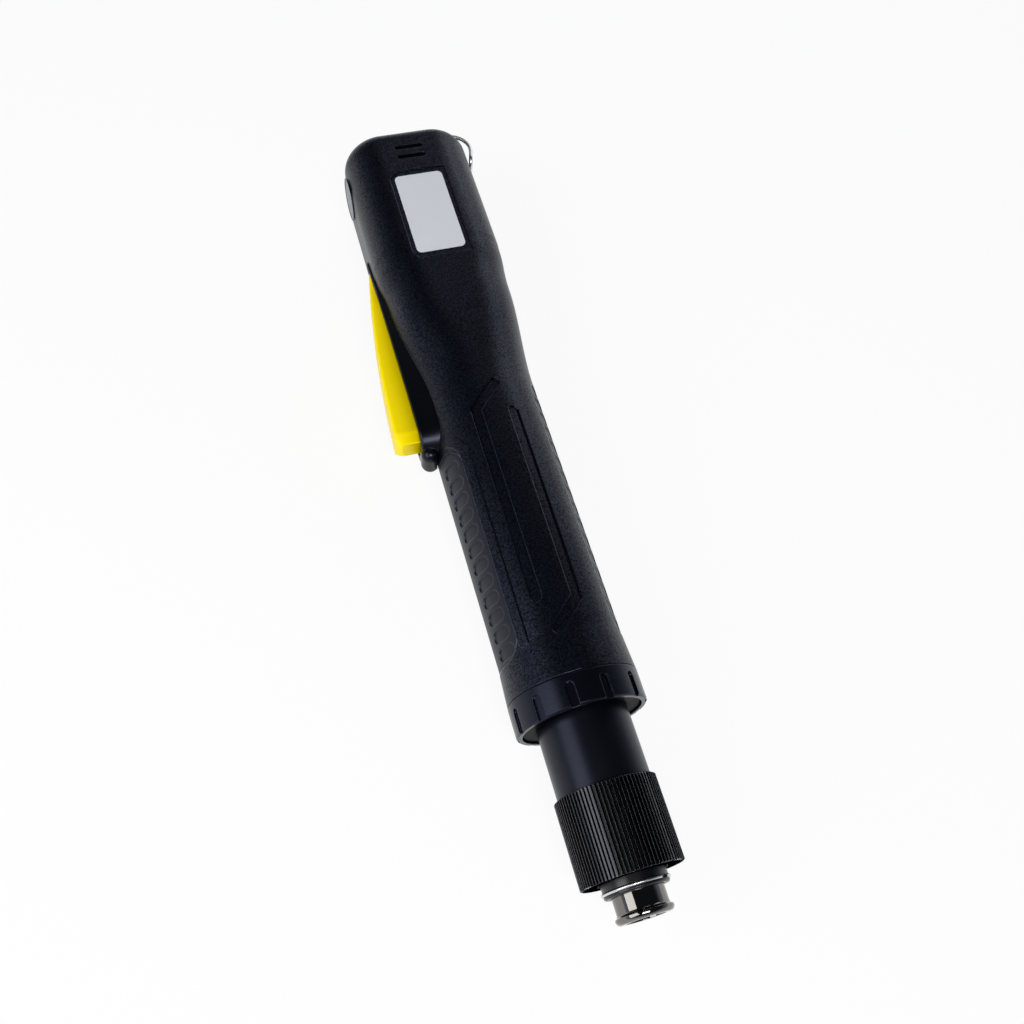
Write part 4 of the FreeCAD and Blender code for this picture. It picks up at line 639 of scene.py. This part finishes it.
class BentWire:
    """Round wire bent step by step, as on a bending jig. Lengths are in millimetres."""

    def __init__(self, radius: float, start: Vector, heading: Vector, sides: int = 16) -> None:
        """Start the wire with its round end.

        Args:
            radius: Radius of the wire.
            start: Centre of the first end.
            heading: Direction that the wire sets off in.
            sides: Corners of its section.
        """
        self.shape = bmesh.new()
        self.place = start.copy()
        self.heading = heading.normalized()
        circle = bmesh.ops.create_circle(
            self.shape, cap_ends=True, segments=sides, radius=radius * MM
        )
        self.ring = list(circle["verts"])
        turn = Vector((0, 0, 1)).rotation_difference(self.heading).to_matrix()
        bmesh.ops.rotate(self.shape, verts=self.ring, cent=(0, 0, 0), matrix=turn)
        bmesh.ops.translate(self.shape, verts=self.ring, vec=start * MM)

    def straight(self, length: float) -> None:
        """Draw the wire on in its direction.

        Args:
            length: Length of the straight piece.
        """
        self.ring = drawn_on(self.shape, edges_among(self.shape, self.ring))
        bmesh.ops.translate(self.shape, verts=self.ring, vec=self.heading * length * MM)
        self.place += self.heading * length

    def bend(self, radius: float, axis: Vector, angle: float) -> None:
        """Bend the wire round a pin.

        Args:
            radius: Radius of the bend at the wire's centre.
            axis: Axis that the wire turns about, right-handed.
            angle: Angle of the bend in degrees.
        """
        centre = self.place + axis.cross(self.heading) * radius
        last = bmesh.ops.spin(
            self.shape, geom=self.ring + edges_among(self.shape, self.ring),
            cent=centre * MM, axis=axis, angle=math.radians(angle),
            steps=max(2, round(angle / BEND_STEP)),
        )["geom_last"]
        self.ring = [item for item in last if isinstance(item, BMVert)]
        turn = Matrix.Rotation(math.radians(angle), 3, axis)
        self.place = centre + turn @ (self.place - centre)
        self.heading = turn @ self.heading

    def close(self) -> BMesh:
        """Cap the live end and hand the wire over.

        Returns:
            The closed shape.
        """
        bmesh.ops.contextual_create(self.shape, geom=edges_among(self.shape, self.ring))
        bmesh.ops.remove_doubles(self.shape, verts=self.shape.verts, dist=MERGE_OWN)
        bmesh.ops.recalc_face_normals(self.shape, faces=self.shape.faces)
        return self.shape


class Assembly:
    """A sub-assembly: the CAD nodes that it dresses and the finer pieces that it adds."""

    def dress(self, finish: Finish, *nodes: str) -> None:
        """Give CAD nodes their finish.

        Args:
            finish: The finish.
            nodes: Names of the nodes.
        """
        for name in nodes:
            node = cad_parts[name]
            if not node.material_slots:
                node.data.materials.append(finish.material())
            for slot in node.material_slots:
                slot.material = finish.material()
            LOG.info("%s: CAD node in %s", name, finish.name)

    def add(
        self, name: str, shape: BMesh, body: str, finish: Finish, slot: str,
        stands_for: Iterable[str] = (),
    ) -> bpy.types.Object:
        """Make a finished piece from a shape.

        Args:
            name: Name of the piece.
            shape: Its shape, in place; it is freed.
            body: CAD body that it rides on.
            finish: Its finish.
            slot: Not used.
            stands_for: CAD nodes that it replaces.

        Returns:
            The new object.
        """
        for face in shape.faces:
            face.smooth = True
        for edge in shape.edges:
            edge.smooth = edge.calc_face_angle(0.0) < math.radians(SMOOTH_BELOW)
        mesh = mesh_of(name, shape)
        mesh.materials.append(finish.material())
        piece = put_in_scene(name, mesh)
        evened = piece.modifiers.new("evened_normals", "WEIGHTED_NORMAL")
        evened.keep_sharp = True
        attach(piece, body)
        if stands_for:
            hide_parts(*stands_for)
        LOG.info("%s: new piece in %s, %d faces", name, finish.name, len(mesh.polygons))
        return piece

    def spring(
        self, node: str, name: str, body: str, joint: str, fixed: Vector, axis: Vector,
        travel: float,
    ) -> None:
        """Put a joined copy of a coil spring's CAD node, in bright wire, on its body in place of
        the node.

        Args:
            node: CAD node of the spring.
            name: Name of the new piece.
            body: CAD body that it rides on.
            joint: Not used.
            fixed: Not used.
            axis: Not used.
            travel: Not used.
        """
        shape = copied(node)
        coil = self.add(name, shape, body, BRIGHT_WIRE, "spring_steel", [node])
        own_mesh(coil)

    def build(self) -> None:
        """Make and dress the sub-assembly."""
        raise NotImplementedError


@dataclass
class ReleaseCollar(Assembly):
    """Bit release collar with its spring and snap ring, on the bit holder."""

    front: float = -0.9
    flange_radius: float = 8.4
    nose: float = 1.0
    rim: float = 0.75
    neck_radius: float = 7.55
    rear: float = 10.1
    bore: float = 4.66
    room: float = 5.7
    mouth_end: float = 1.95
    relief: tuple[float, float] = (4.7, 7.7)
    fillet_gap: float = 0.15
    fillet_length: float = 0.9
    fillet_share: float = 0.8
    edge_round: float = 0.12
    sharp_turn: float = 35.0
    steps: int = 192
    spring_seat: float = 15.55
    travel: float = 3.0

    def outline(self) -> list[tuple[float, float]]:
        """Section of the collar: flange, hollow fillet, straight neck and the ball's relief.

        Returns:
            Corners as (place, radius).
        """
        rim_start = self.front + self.nose
        rim_end = rim_start + self.rim
        # Corners of the fillet: turn in degrees, and share of its length
        corners = ((80, 0.0), (60, 0.18), (40, 0.4), (20, 0.68), (0, 1.0))
        rise = (self.flange_radius - self.neck_radius) * self.fillet_share
        fillet = [
            (
                rim_end + self.fillet_gap + self.fillet_length * share,
                self.neck_radius + rise * (1 - math.cos(math.radians(turn))),
            )
            for turn, share in corners
        ]
        return [
            (self.front, self.room),
            (self.front, self.flange_radius - self.nose),
            (self.front + 0.3 * self.nose, self.flange_radius - 0.45 * self.nose),
            (rim_start, self.flange_radius),
            (rim_end, self.flange_radius),
            *fillet,
            (self.rear, self.neck_radius),
            (self.rear, self.bore),
            (self.relief[1], self.bore),
            (self.relief[1], self.room),
            (self.relief[0], self.room),
            (self.relief[0], self.bore),
            (self.mouth_end, self.bore),
            (self.mouth_end, self.room),
        ]

    def build(self) -> None:
        """Make the chromed collar and dress what is under it."""
        shape = spun(self.outline(), steps=self.steps)
        ease_edges(shape, self.edge_round, least_turn=self.sharp_turn)
        self.add("release_collar", shape, "release_collar", DARK_CHROME, "dark_chrome", ["collar"])
        self.spring(
            "collar_spring", "collar_coil", "spindle", "collar_slide",
            fixed=Vector((0, self.spring_seat, 0)), axis=Vector((0, 1, 0)), travel=self.travel,
        )
        self.dress(BRIGHT_WIRE, "collar_snap_ring")
        self.dress(GROUND_STEEL, "bit_holder", "lock_ball")


@dataclass
class HolderSleeve(Assembly):
    """Black sleeve round the collar, with its bright open ring in a groove."""

    front: float = 6.3
    rear: float = 17.55
    radius: float = 9.5
    opening: float = 7.75
    bore: float = 4.64
    floor: float = 15.6
    chamfer: float = 0.4
    groove: float = 7.7
    groove_half: float = 0.5
    groove_slope: float = 0.1
    groove_depth: float = 0.4
    edge_round: float = 0.08
    ring_turn: float = -146.0

    def outline(self) -> list[tuple[float, float]]:
        """Section of the sleeve: a cup with a groove round it.

        Returns:
            Corners as (place, radius).
        """
        low = self.groove - self.groove_half
        high = self.groove + self.groove_half
        root = self.radius - self.groove_depth
        return [
            (self.front, self.opening),
            (self.front, self.radius - self.chamfer),
            (self.front + self.chamfer, self.radius),
            (low, self.radius),
            (low + self.groove_slope, root),
            (high - self.groove_slope, root),
            (high, self.radius),
            (self.rear, self.radius),
            (self.rear, self.bore),
            (self.floor, self.bore),
            (self.floor, self.opening),
        ]

    def build(self) -> None:
        """Make the sleeve and turn its ring to where the photograph shows it."""
        shape = spun(self.outline())
        ease_edges(shape, self.edge_round)
        self.add("collar_sleeve", shape, "spindle", BLACK_OXIDE, "black_oxide", ["holder_sleeve"])
        ring = copied("retaining_ring", turned=self.ring_turn)
        self.add("sleeve_clip", ring, "spindle", BRIGHT_WIRE, "spring_steel", ["retaining_ring"])


@dataclass
class TorqueClutch(Assembly):
    """Knurled adjusting nut, satin tube with its flange, and the clutch and bearing inside."""

    start: float = 10.3
    end: float = 34.9
    radius: float = 15.15
    knurl_depth: float = 0.7
    teeth: int = 80
    crest_share: float = 0.1
    valley_share: float = 0.46
    chamfer: float = 0.3
    chamfer_step: float = 0.2
    front_bore: float = 10.1
    thread_radius: float = 13.1
    thread_start: float = 18.05
    thread_end: float = 30.05
    rear_bore: float = 14.0
    seat_face: float = 22.65
    seat_travel: float = 4.5

    def tooth_corner(self, index: int) -> tuple[float, bool]:
        """Where a corner of the knurl's section is.

        Args:
            index: Number of the corner, four to a tooth.

        Returns:
            Its angle round the nut in radians, and whether it is on a crest.
        """
        half_crest = self.crest_share / 2
        half_valley = self.valley_share / 2
        shares = (-half_crest, half_crest, 0.5 - half_valley, 0.5 + half_valley)
        tooth, corner = divmod(index, 4)
        place = tooth + shares[corner] + self.crest_share
        return math.tau * place / self.teeth, corner < 2

    def section(self, ring: Iterable[BMVert], y: float, crest: float, valley: float) -> None:
        """Lay a ring of corners out as a section of the nut.

        Args:
            ring: The corners, in order round the nut.
            y: Place along the tool.
            crest: Radius of the crests.
            valley: Radius of the valleys.
        """
        for index, vert in enumerate(ring):
            turn, on_crest = self.tooth_corner(index)
            reach = crest if on_crest else valley
            vert.co = Vector((reach * math.sin(turn), y, reach * math.cos(turn))) * MM

    def knurled_nut(self) -> BMesh:
        """Nut from one knurled ring, drawn along its outside and back through its bore.

        Returns:
            A closed shape.
        """
        root = self.radius - self.knurl_depth
        low = root + self.chamfer_step
        outside = (
            (self.start, low, root),
            (self.start + self.chamfer, self.radius, root),
            (self.end - self.chamfer, self.radius, root),
            (self.end, low, root),
        )
        bore = (
            (self.end, self.rear_bore),
            (self.thread_end, self.rear_bore),
            (self.thread_end, self.thread_radius),
            (self.thread_start, self.thread_radius),
            (self.thread_start, self.front_bore),
            (self.start, self.front_bore),
        )
        shape = bmesh.new()
        circle = bmesh.ops.create_circle(shape, segments=4 * self.teeth, radius=self.radius * MM)
        ring = sorted(circle["verts"], key=lambda vert: math.atan2(vert.co.x, vert.co.y) % math.tau)
        self.section(ring, *outside[0])
        for station in (*outside[1:], *((y, radius, radius) for y, radius in bore)):
            fresh = drawn_on(shape, edges_among(shape, ring))
            ring = sorted(fresh, key=lambda vert: math.atan2(vert.co.x, vert.co.z) % math.tau)
            self.section(ring, *station)
        bmesh.ops.bridge_loops(shape, edges=[edge for edge in shape.edges if edge.is_boundary])
        bmesh.ops.recalc_face_normals(shape, faces=shape.faces)
        return shape

    def build(self) -> None:
        """Make the nut and dress the tube and the parts of the clutch."""
        nut = self.knurled_nut()
        self.add(
            "torque_nut_skin", nut, "adjusting_nut", KNURLED_ANODISED, "anodised", ["torque_nut"]
        )
        self.dress(BLACK_ANODISED, "clutch_housing")
        self.dress(GROUND_STEEL, "spring_seat", "driven_cam", "drive_cam", "clutch_balls")
        self.spring(
            "clutch_spring", "clutch_coil", "clutch_seat", "seat_slide",
            fixed=Vector((0, self.seat_face, 0)), axis=Vector((0, 1, 0)), travel=self.seat_travel,
        )
        self.dress(GROUND_STEEL, "bearing_outer_ring", "bearing_inner_ring", "bearing_balls")


@dataclass
class StartLever(Assembly):
    """Yellow start lever in its glossy bezel, with the pin, spring and switch.

    In plan the lever is a leaf with a blunt front end, and its taper steepens at the shoulder.
    Each taper holds the shares of the half width that go with its length and with the square.
    """

    end: float = 156.1
    tip: float = 231.8
    half: float = 6.3
    end_half: float = 3.5
    shoulder: float = 0.77
    body_taper: tuple[float, float] = (0.11, 0.38)
    point_start: float = 0.51
    point_taper: tuple[float, float] = (0.45, 0.06)
    round_length: float = 3.0
    round_swell: float = 0.25
    round_share: float = 0.7
    least_half: float = 0.02
    high: float = 31.15
    tip_high: float = 24.0
    bow: float = 1.45
    nose_length: float = 2.6
    nose_drop: float = 1.5
    nose_round: float = 0.9
    tip_length: float = 3.6
    tip_drop: float = 1.1
    inner: float = 21.2
    crest_round: float = 1.0
    crest_share: float = 0.9
    wall: float = 1.8
    stations: int = 64
    station_spread: float = 0.8
    rows: int = 20
    pivot_x: float = -18.0
    pivot_y: float = 222.6
    ear_radius: float = 3.0
    ear_half: float = 1.25
    web_inset: tuple[float, float] = (0.2, 0.02)
    boss_y: float = 189.0
    boss_radius: float = 3.6
    boss_x: float = -22.0
    rib_x: float = -17.75
    rib_y: float = 211.0
    rib_half: tuple[float, float] = (1.0, 1.3)
    inside_round: float = 0.2
    spring_seat: float = 9.95
    press: float = 2.46

    def half_width(self, y: float) -> float:
        """Half the lever's width in plan.

        Args:
            y: Place along the tool.

        Returns:
            Half the width there.
        """
        turn = self.end + self.shoulder * (self.tip - self.end)
        if y < turn:
            share = (y - self.end) / (turn - self.end)
            start, (slope, curve) = 1.0, self.body_taper
        else:
            share = (y - turn) / (self.tip - turn)
            start, (slope, curve) = self.point_start, self.point_taper
        leaf = self.half * (start - share * (slope + curve * share))
        limits = [leaf, self.end_half + y - self.end]
        if y > self.tip - self.round_length:
            limits[0] += self.round_swell
            limits.append(self.round_share * math.sqrt(max(self.tip - y, 0.0)))
        return max(min(limits), self.least_half)

    def back_height(self, y: float) -> float:
        """Height of the bowed back above the tool's axis.

        Args:
            y: Place along the tool.

        Returns:
            The height, without the rounding of the edges.
        """
        low = self.end + self.nose_length
        high = self.tip - self.tip_length
        if y < low:
            return self.high - self.nose_drop * (low - y) / self.nose_length
        if y > high:
            return self.tip_high - self.tip_drop * (y - high) / self.tip_length
        share = (y - low) / (high - low)
        chord = self.high + (self.tip_high - self.high) * share
        return chord + 4 * self.bow * share * (1 - share)

    def skin(self) -> BMesh:
        """Back of the lever from a grid, its rim drawn down to form the sides.

        Returns:
            An open shell.
        """
        shape = bmesh.new()
        bmesh.ops.create_grid(shape, x_segments=self.stations, y_segments=self.rows, size=1.0)
        for vert in shape.verts:
            along = (vert.co.x + 1) / 2
            spread = (1 - math.cos(along * math.pi / 2)) ** self.station_spread
            y = self.end + (self.tip - self.end) * spread
            half = self.half_width(y)
            z = half * math.sin(vert.co.y * math.pi / 2)
            side_round = min(self.crest_round, self.crest_share * half)
            fall = edge_fall(half - abs(z), side_round) + edge_fall(y - self.end, self.nose_round)
            vert.co = Vector((-(self.back_height(y) - fall), y, z)) * MM
        for vert in drawn_on(shape, [edge for edge in shape.edges if edge.is_boundary]):
            vert.co.x = -self.inner * MM
        bmesh.ops.remove_doubles(shape, verts=shape.verts, dist=MERGE_COPY)
        bmesh.ops.recalc_face_normals(shape, faces=shape.faces)
        return shape

    def in_back(self, y: float) -> Vector:
        """Middle of the back's wall, on the lever's centre plane.

        Args:
            y: Place along the tool.

        Returns:
            The point, in millimetres.
        """
        return Vector((self.wall / 2 - self.back_height(y), y, 0))

    def inside(self) -> BMesh:
        """What the lever carries inside: pivot ear, spring boss and switch rib.

        Returns:
            Closed solids, with their edges eased.
        """
        shape = bmesh.new()
        side = Vector((0, 0, self.ear_half))
        pivot = Vector((self.pivot_x, self.pivot_y, 0))
        add_peg(shape, self.ear_radius, pivot - side, pivot + side)
        along_inset, side_inset = self.web_inset
        web = Vector((0, self.ear_radius - along_inset, self.ear_half - side_inset))
        add_block(shape, self.in_back(self.pivot_y) - web, pivot + web)
        boss = Vector((self.boss_x, self.boss_y, 0))
        add_peg(shape, self.boss_radius, self.in_back(self.boss_y), boss)
        rib = Vector((0, *self.rib_half))
        rib_end = Vector((self.rib_x, self.rib_y, 0))
        add_block(shape, self.in_back(self.rib_y) - rib, rib_end + rib)
        ease_edges(shape, self.inside_round, least_turn=60.0, segments=2)
        return shape

    def build(self) -> None:
        """Make the lever and dress its mechanism."""
        self.add("lever_inside", self.inside(), "start_lever", LEVER_ABS, "lever_yellow")
        lever = self.add(
            "start_lever", self.skin(), "start_lever", LEVER_ABS, "lever_yellow", ["lever"]
        )
        thick = lever.modifiers.new("wall", "SOLIDIFY")
        thick.thickness = self.wall * MM
        thick.offset = -1.0
        self.dress(POLISHED_ABS, "lever_bezel")
        self.dress(GROUND_STEEL, "lever_pin")
        self.spring(
            "lever_spring", "lever_coil", "handle", "lever_press",
            fixed=Vector((-self.spring_seat, self.boss_y, 0)), axis=Vector((1, 0, 0)),
            travel=self.press,
        )
        self.dress(EPOXY, "start_switch", "switch_plunger", "switch_holder")


@dataclass
class Handle(Assembly):
    """Moulded shells with their screws, grip pads, coupling ring and stickers."""

    ring_turn: float = 12.0

    def build(self) -> None:
        """Turn the ring so that its notches stand as in the photograph, and dress the handle."""
        ring = copied("coupling_ring", turned=self.ring_turn)
        self.add("spanner_ring", ring, "handle", SATIN_NYLON, "bezel_black", ["coupling_ring"])
        self.dress(SPARK_NYLON, "upper_housing", "lower_housing")
        self.dress(ELASTOMER, "grip_pad_front", "grip_pad_back")
        self.dress(SCREW_STEEL, "housing_screws")
        self.dress(SILVER_FILM, "rating_label")
        self.dress(GREY_FILM, "side_badge")


@dataclass
class HangingBail(Assembly):
    """Bowed bail of bright wire at the butt, bent from one length."""

    wire: float = 0.7
    eye: tuple[float, float] = (17.5, 280.1)
    bow: tuple[float, float] = (26.9, 279.4)
    end: tuple[float, float] = (23.6, 266.0)
    inner: float = 5.45
    half_width: float = 8.9
    eye_bend: float = 1.05
    bow_bend: float = 7.2
    corner_bend: float = 3.0

    def build(self) -> None:
        """Bend the bail: eye stub, arm, bow, crossbar and back the same way, mirrored."""
        eye, bow, end = (Vector((*place, 0.0)) for place in (self.eye, self.bow, self.end))
        first = (bow - eye).normalized()
        second = (end - bow).normalized()
        bow_angle = first.angle(second)
        reach = self.bow_bend * math.tan(bow_angle / 2)
        up = Vector((0, 0, 1))
        stub = self.half_width - self.inner - self.eye_bend
        arm = (bow - eye).length - reach - self.eye_bend
        drop = (end - bow).length - reach - self.corner_bend
        steps = (
            (stub, self.eye_bend, first.cross(up), 90.0),
            (arm, self.bow_bend, -up, math.degrees(bow_angle)),
            (drop, self.corner_bend, second.cross(up), 90.0),
        )
        wire = BentWire(self.wire, eye - up * self.inner, -up)
        for length, radius, axis, angle in steps:
            wire.straight(length)
            wire.bend(radius, axis, angle)
        wire.straight(2 * (self.half_width - self.corner_bend))
        for length, radius, axis, angle in reversed(steps):
            wire.bend(radius, Vector((axis.x, axis.y, -axis.z)), angle)
            wire.straight(length)
        self.add("bail_wire", wire.close(), "bail", BRIGHT_WIRE, "steel", ["hanging_bail"])


class Electronics(Assembly):
    """Board, inlet and direction switch."""

    def build(self) -> None:
        """Dress the electronics."""
        self.dress(SOLDER_MASK, "control_board")
        self.dress(EPOXY, "board_parts", "power_socket", "socket_insert")
        self.dress(EPOXY, "direction_switch", "direction_knob")
        self.dress(GOLD_FLASH, "socket_pins")


class Drive(Assembly):
    """Motor and planetary gear."""

    def build(self) -> None:
        """Dress the drive."""
        self.dress(ZINC_SHEET, "motor_can", "motor_plate")
        self.dress(FERRITE, "motor_magnets")
        self.dress(EPOXY, "motor_end_bell")
        self.dress(GRAPHITE, "motor_brushes")
        self.dress(GROUND_STEEL, "rotor", "carrier_pins", "planet_carrier")
        self.dress(GEAR_STEEL, "sun_pinion", "ring_gear")
        self.dress(GEAR_STEEL, "planet_gear_1", "planet_gear_2", "planet_gear_3")


@dataclass(frozen=True)
class SoftBox:
    """Soft rectangular lamp. Places and sides are in metres, and the power is in watts."""

    name: str
    place: Point
    aim: Point
    sides: tuple[float, float]
    power: float

    def build(self) -> None:
        """Set the lamp up, facing its aim."""
        data = bpy.data.lights.new(self.name, "AREA")
        data.shape = "RECTANGLE"
        data.size, data.size_y = self.sides
        data.energy = self.power
        lamp = put_in_scene(self.name, data)
        turn = (Vector(self.aim) - Vector(self.place)).to_track_quat("-Z", "Y")
        lamp.matrix_world = Matrix.Translation(self.place) @ turn.to_matrix().to_4x4()


# A large box on the lever's side, the key lamp above the bit, and weak ones opposite and behind
SOFT_BOXES = (
    SoftBox("left_box", (-0.70, -0.06, 0.49), (0.0, 0.08, 0.0), (0.76, 0.56), 4.4),
    SoftBox("right_box", (0.62, 0.72, 0.34), (0.0, 0.18, 0.0), (0.6, 0.4), 1.1),
    SoftBox("key_box", (-0.10, -0.42, 0.86), (0.0, 0.12, 0.0), (0.45, 0.30), 6.3),
    SoftBox("back_box", (0.15, 0.95, 0.78), (0.0, 0.20, 0.0), (0.5, 0.4), 0.45),
)


@dataclass
class Studio:
    """Camera, floor and surroundings of the photograph.

    Places are in metres. The camera was fitted to the photograph: eye is where it stands, and
    right and down are the directions in space of its picture's right and lower side.
    """

    lens_mm: float = 37.34
    sensor_mm: float = 36.0
    clip_start: float = 0.01
    eye: Point = (-0.0702, -0.0150, 0.3011)
    right: Point = (0.95565, -0.28074, 0.08896)
    down: Point = (-0.21182, -0.86510, -0.45468)
    floor_level: float = -0.020
    floor_half: float = 9.0
    floor_middle: float = 0.1
    floor_tone: str = "#f4f4f4"
    floor_glow: float = 0.9
    sky_tone: str = "#dfe8ff"
    sky_heights: tuple[float, float] = (0.0, 0.6)
    sky_light: tuple[float, float] = (0.55, 0.03)

    def camera(self) -> None:
        """Put the camera where the photograph was taken from."""
        data = bpy.data.cameras.new("photo_camera")
        data.lens = self.lens_mm
        data.sensor_width = self.sensor_mm
        data.clip_start = self.clip_start
        camera = put_in_scene("photo_camera", data)
        right = Vector(self.right).normalized()
        up = -Vector(self.down).normalized()
        turn = Matrix((right, up, right.cross(up))).transposed().to_4x4()
        camera.matrix_world = Matrix.Translation(self.eye) @ turn
        bpy.context.scene.camera = camera

    def paper(self) -> bpy.types.Material:
        """White paper that shows evenly pale to the camera and in reflections.

        Returns:
            The material.
        """
        material = bpy.data.materials.new("white_paper_sweep")
        tree = blank_tree(material)
        paper = add_node(tree, "ShaderNodeBsdfDiffuse", Color=linear(self.floor_tone))
        glow = add_node(tree, "ShaderNodeEmission", Color=(1, 1, 1, 1), Strength=1.0)
        ray = add_node(tree, "ShaderNodeLightPath").outputs
        mirrored = combine(tree, "MAXIMUM", ray["Is Glossy Ray"], ray["Is Transmission Ray"])
        looked_at = combine(tree, "MAXIMUM", ray["Is Camera Ray"], mirrored)
        seen = combine(tree, "MULTIPLY", looked_at, self.floor_glow)
        mixed = add_node(
            tree, "ShaderNodeMixShader", _0=seen, _1=paper.outputs[0], _2=glow.outputs[0]
        )
        add_node(tree, "ShaderNodeOutputMaterial", Surface=mixed.outputs[0])
        return material

    def floor(self) -> None:
        """Plain pale floor that keeps the tool's shadow."""
        shape = bmesh.new()
        bmesh.ops.create_grid(shape, x_segments=1, y_segments=1, size=self.floor_half)
        middle = (0, self.floor_middle, self.floor_level)
        bmesh.ops.translate(shape, verts=shape.verts, vec=middle)
        mesh = mesh_of("floor", shape)
        floor = put_in_scene("floor", mesh)
        mesh.materials.append(self.paper())

    def world(self) -> None:
        """Surroundings that are pale at the horizon and dim overhead, as in a draped booth."""
        world = bpy.data.worlds.new("studio")
        tree = blank_tree(world)
        place = add_node(tree, "ShaderNodeTexCoord").outputs["Generated"]
        height = add_node(tree, "ShaderNodeSeparateXYZ", Vector=place).outputs["Z"]
        level = remap(tree, height, self.sky_heights, self.sky_light, "SMOOTHSTEP")
        sky = add_node(tree, "ShaderNodeBackground", Color=linear(self.sky_tone), Strength=level)
        add_node(tree, "ShaderNodeOutputWorld", Surface=sky.outputs[0])
        bpy.context.scene.world = world

    def build(self) -> None:
        """Set up the whole studio."""
        bpy.context.scene.view_settings.view_transform = "Standard"
        self.camera()
        for lamp in SOFT_BOXES:
            lamp.build()
        self.floor()
        self.world()


def main() -> None:
    """Build the looks in order and note the sizes."""
    logging.basicConfig(level=logging.INFO, format="%(message)s")
    Studio().build()
    for assembly in (
        Handle(), HangingBail(), StartLever(), TorqueClutch(), HolderSleeve(), ReleaseCollar(),
        Electronics(), Drive(),
    ):
        assembly.build()


if __name__ == "__main__":
    main()
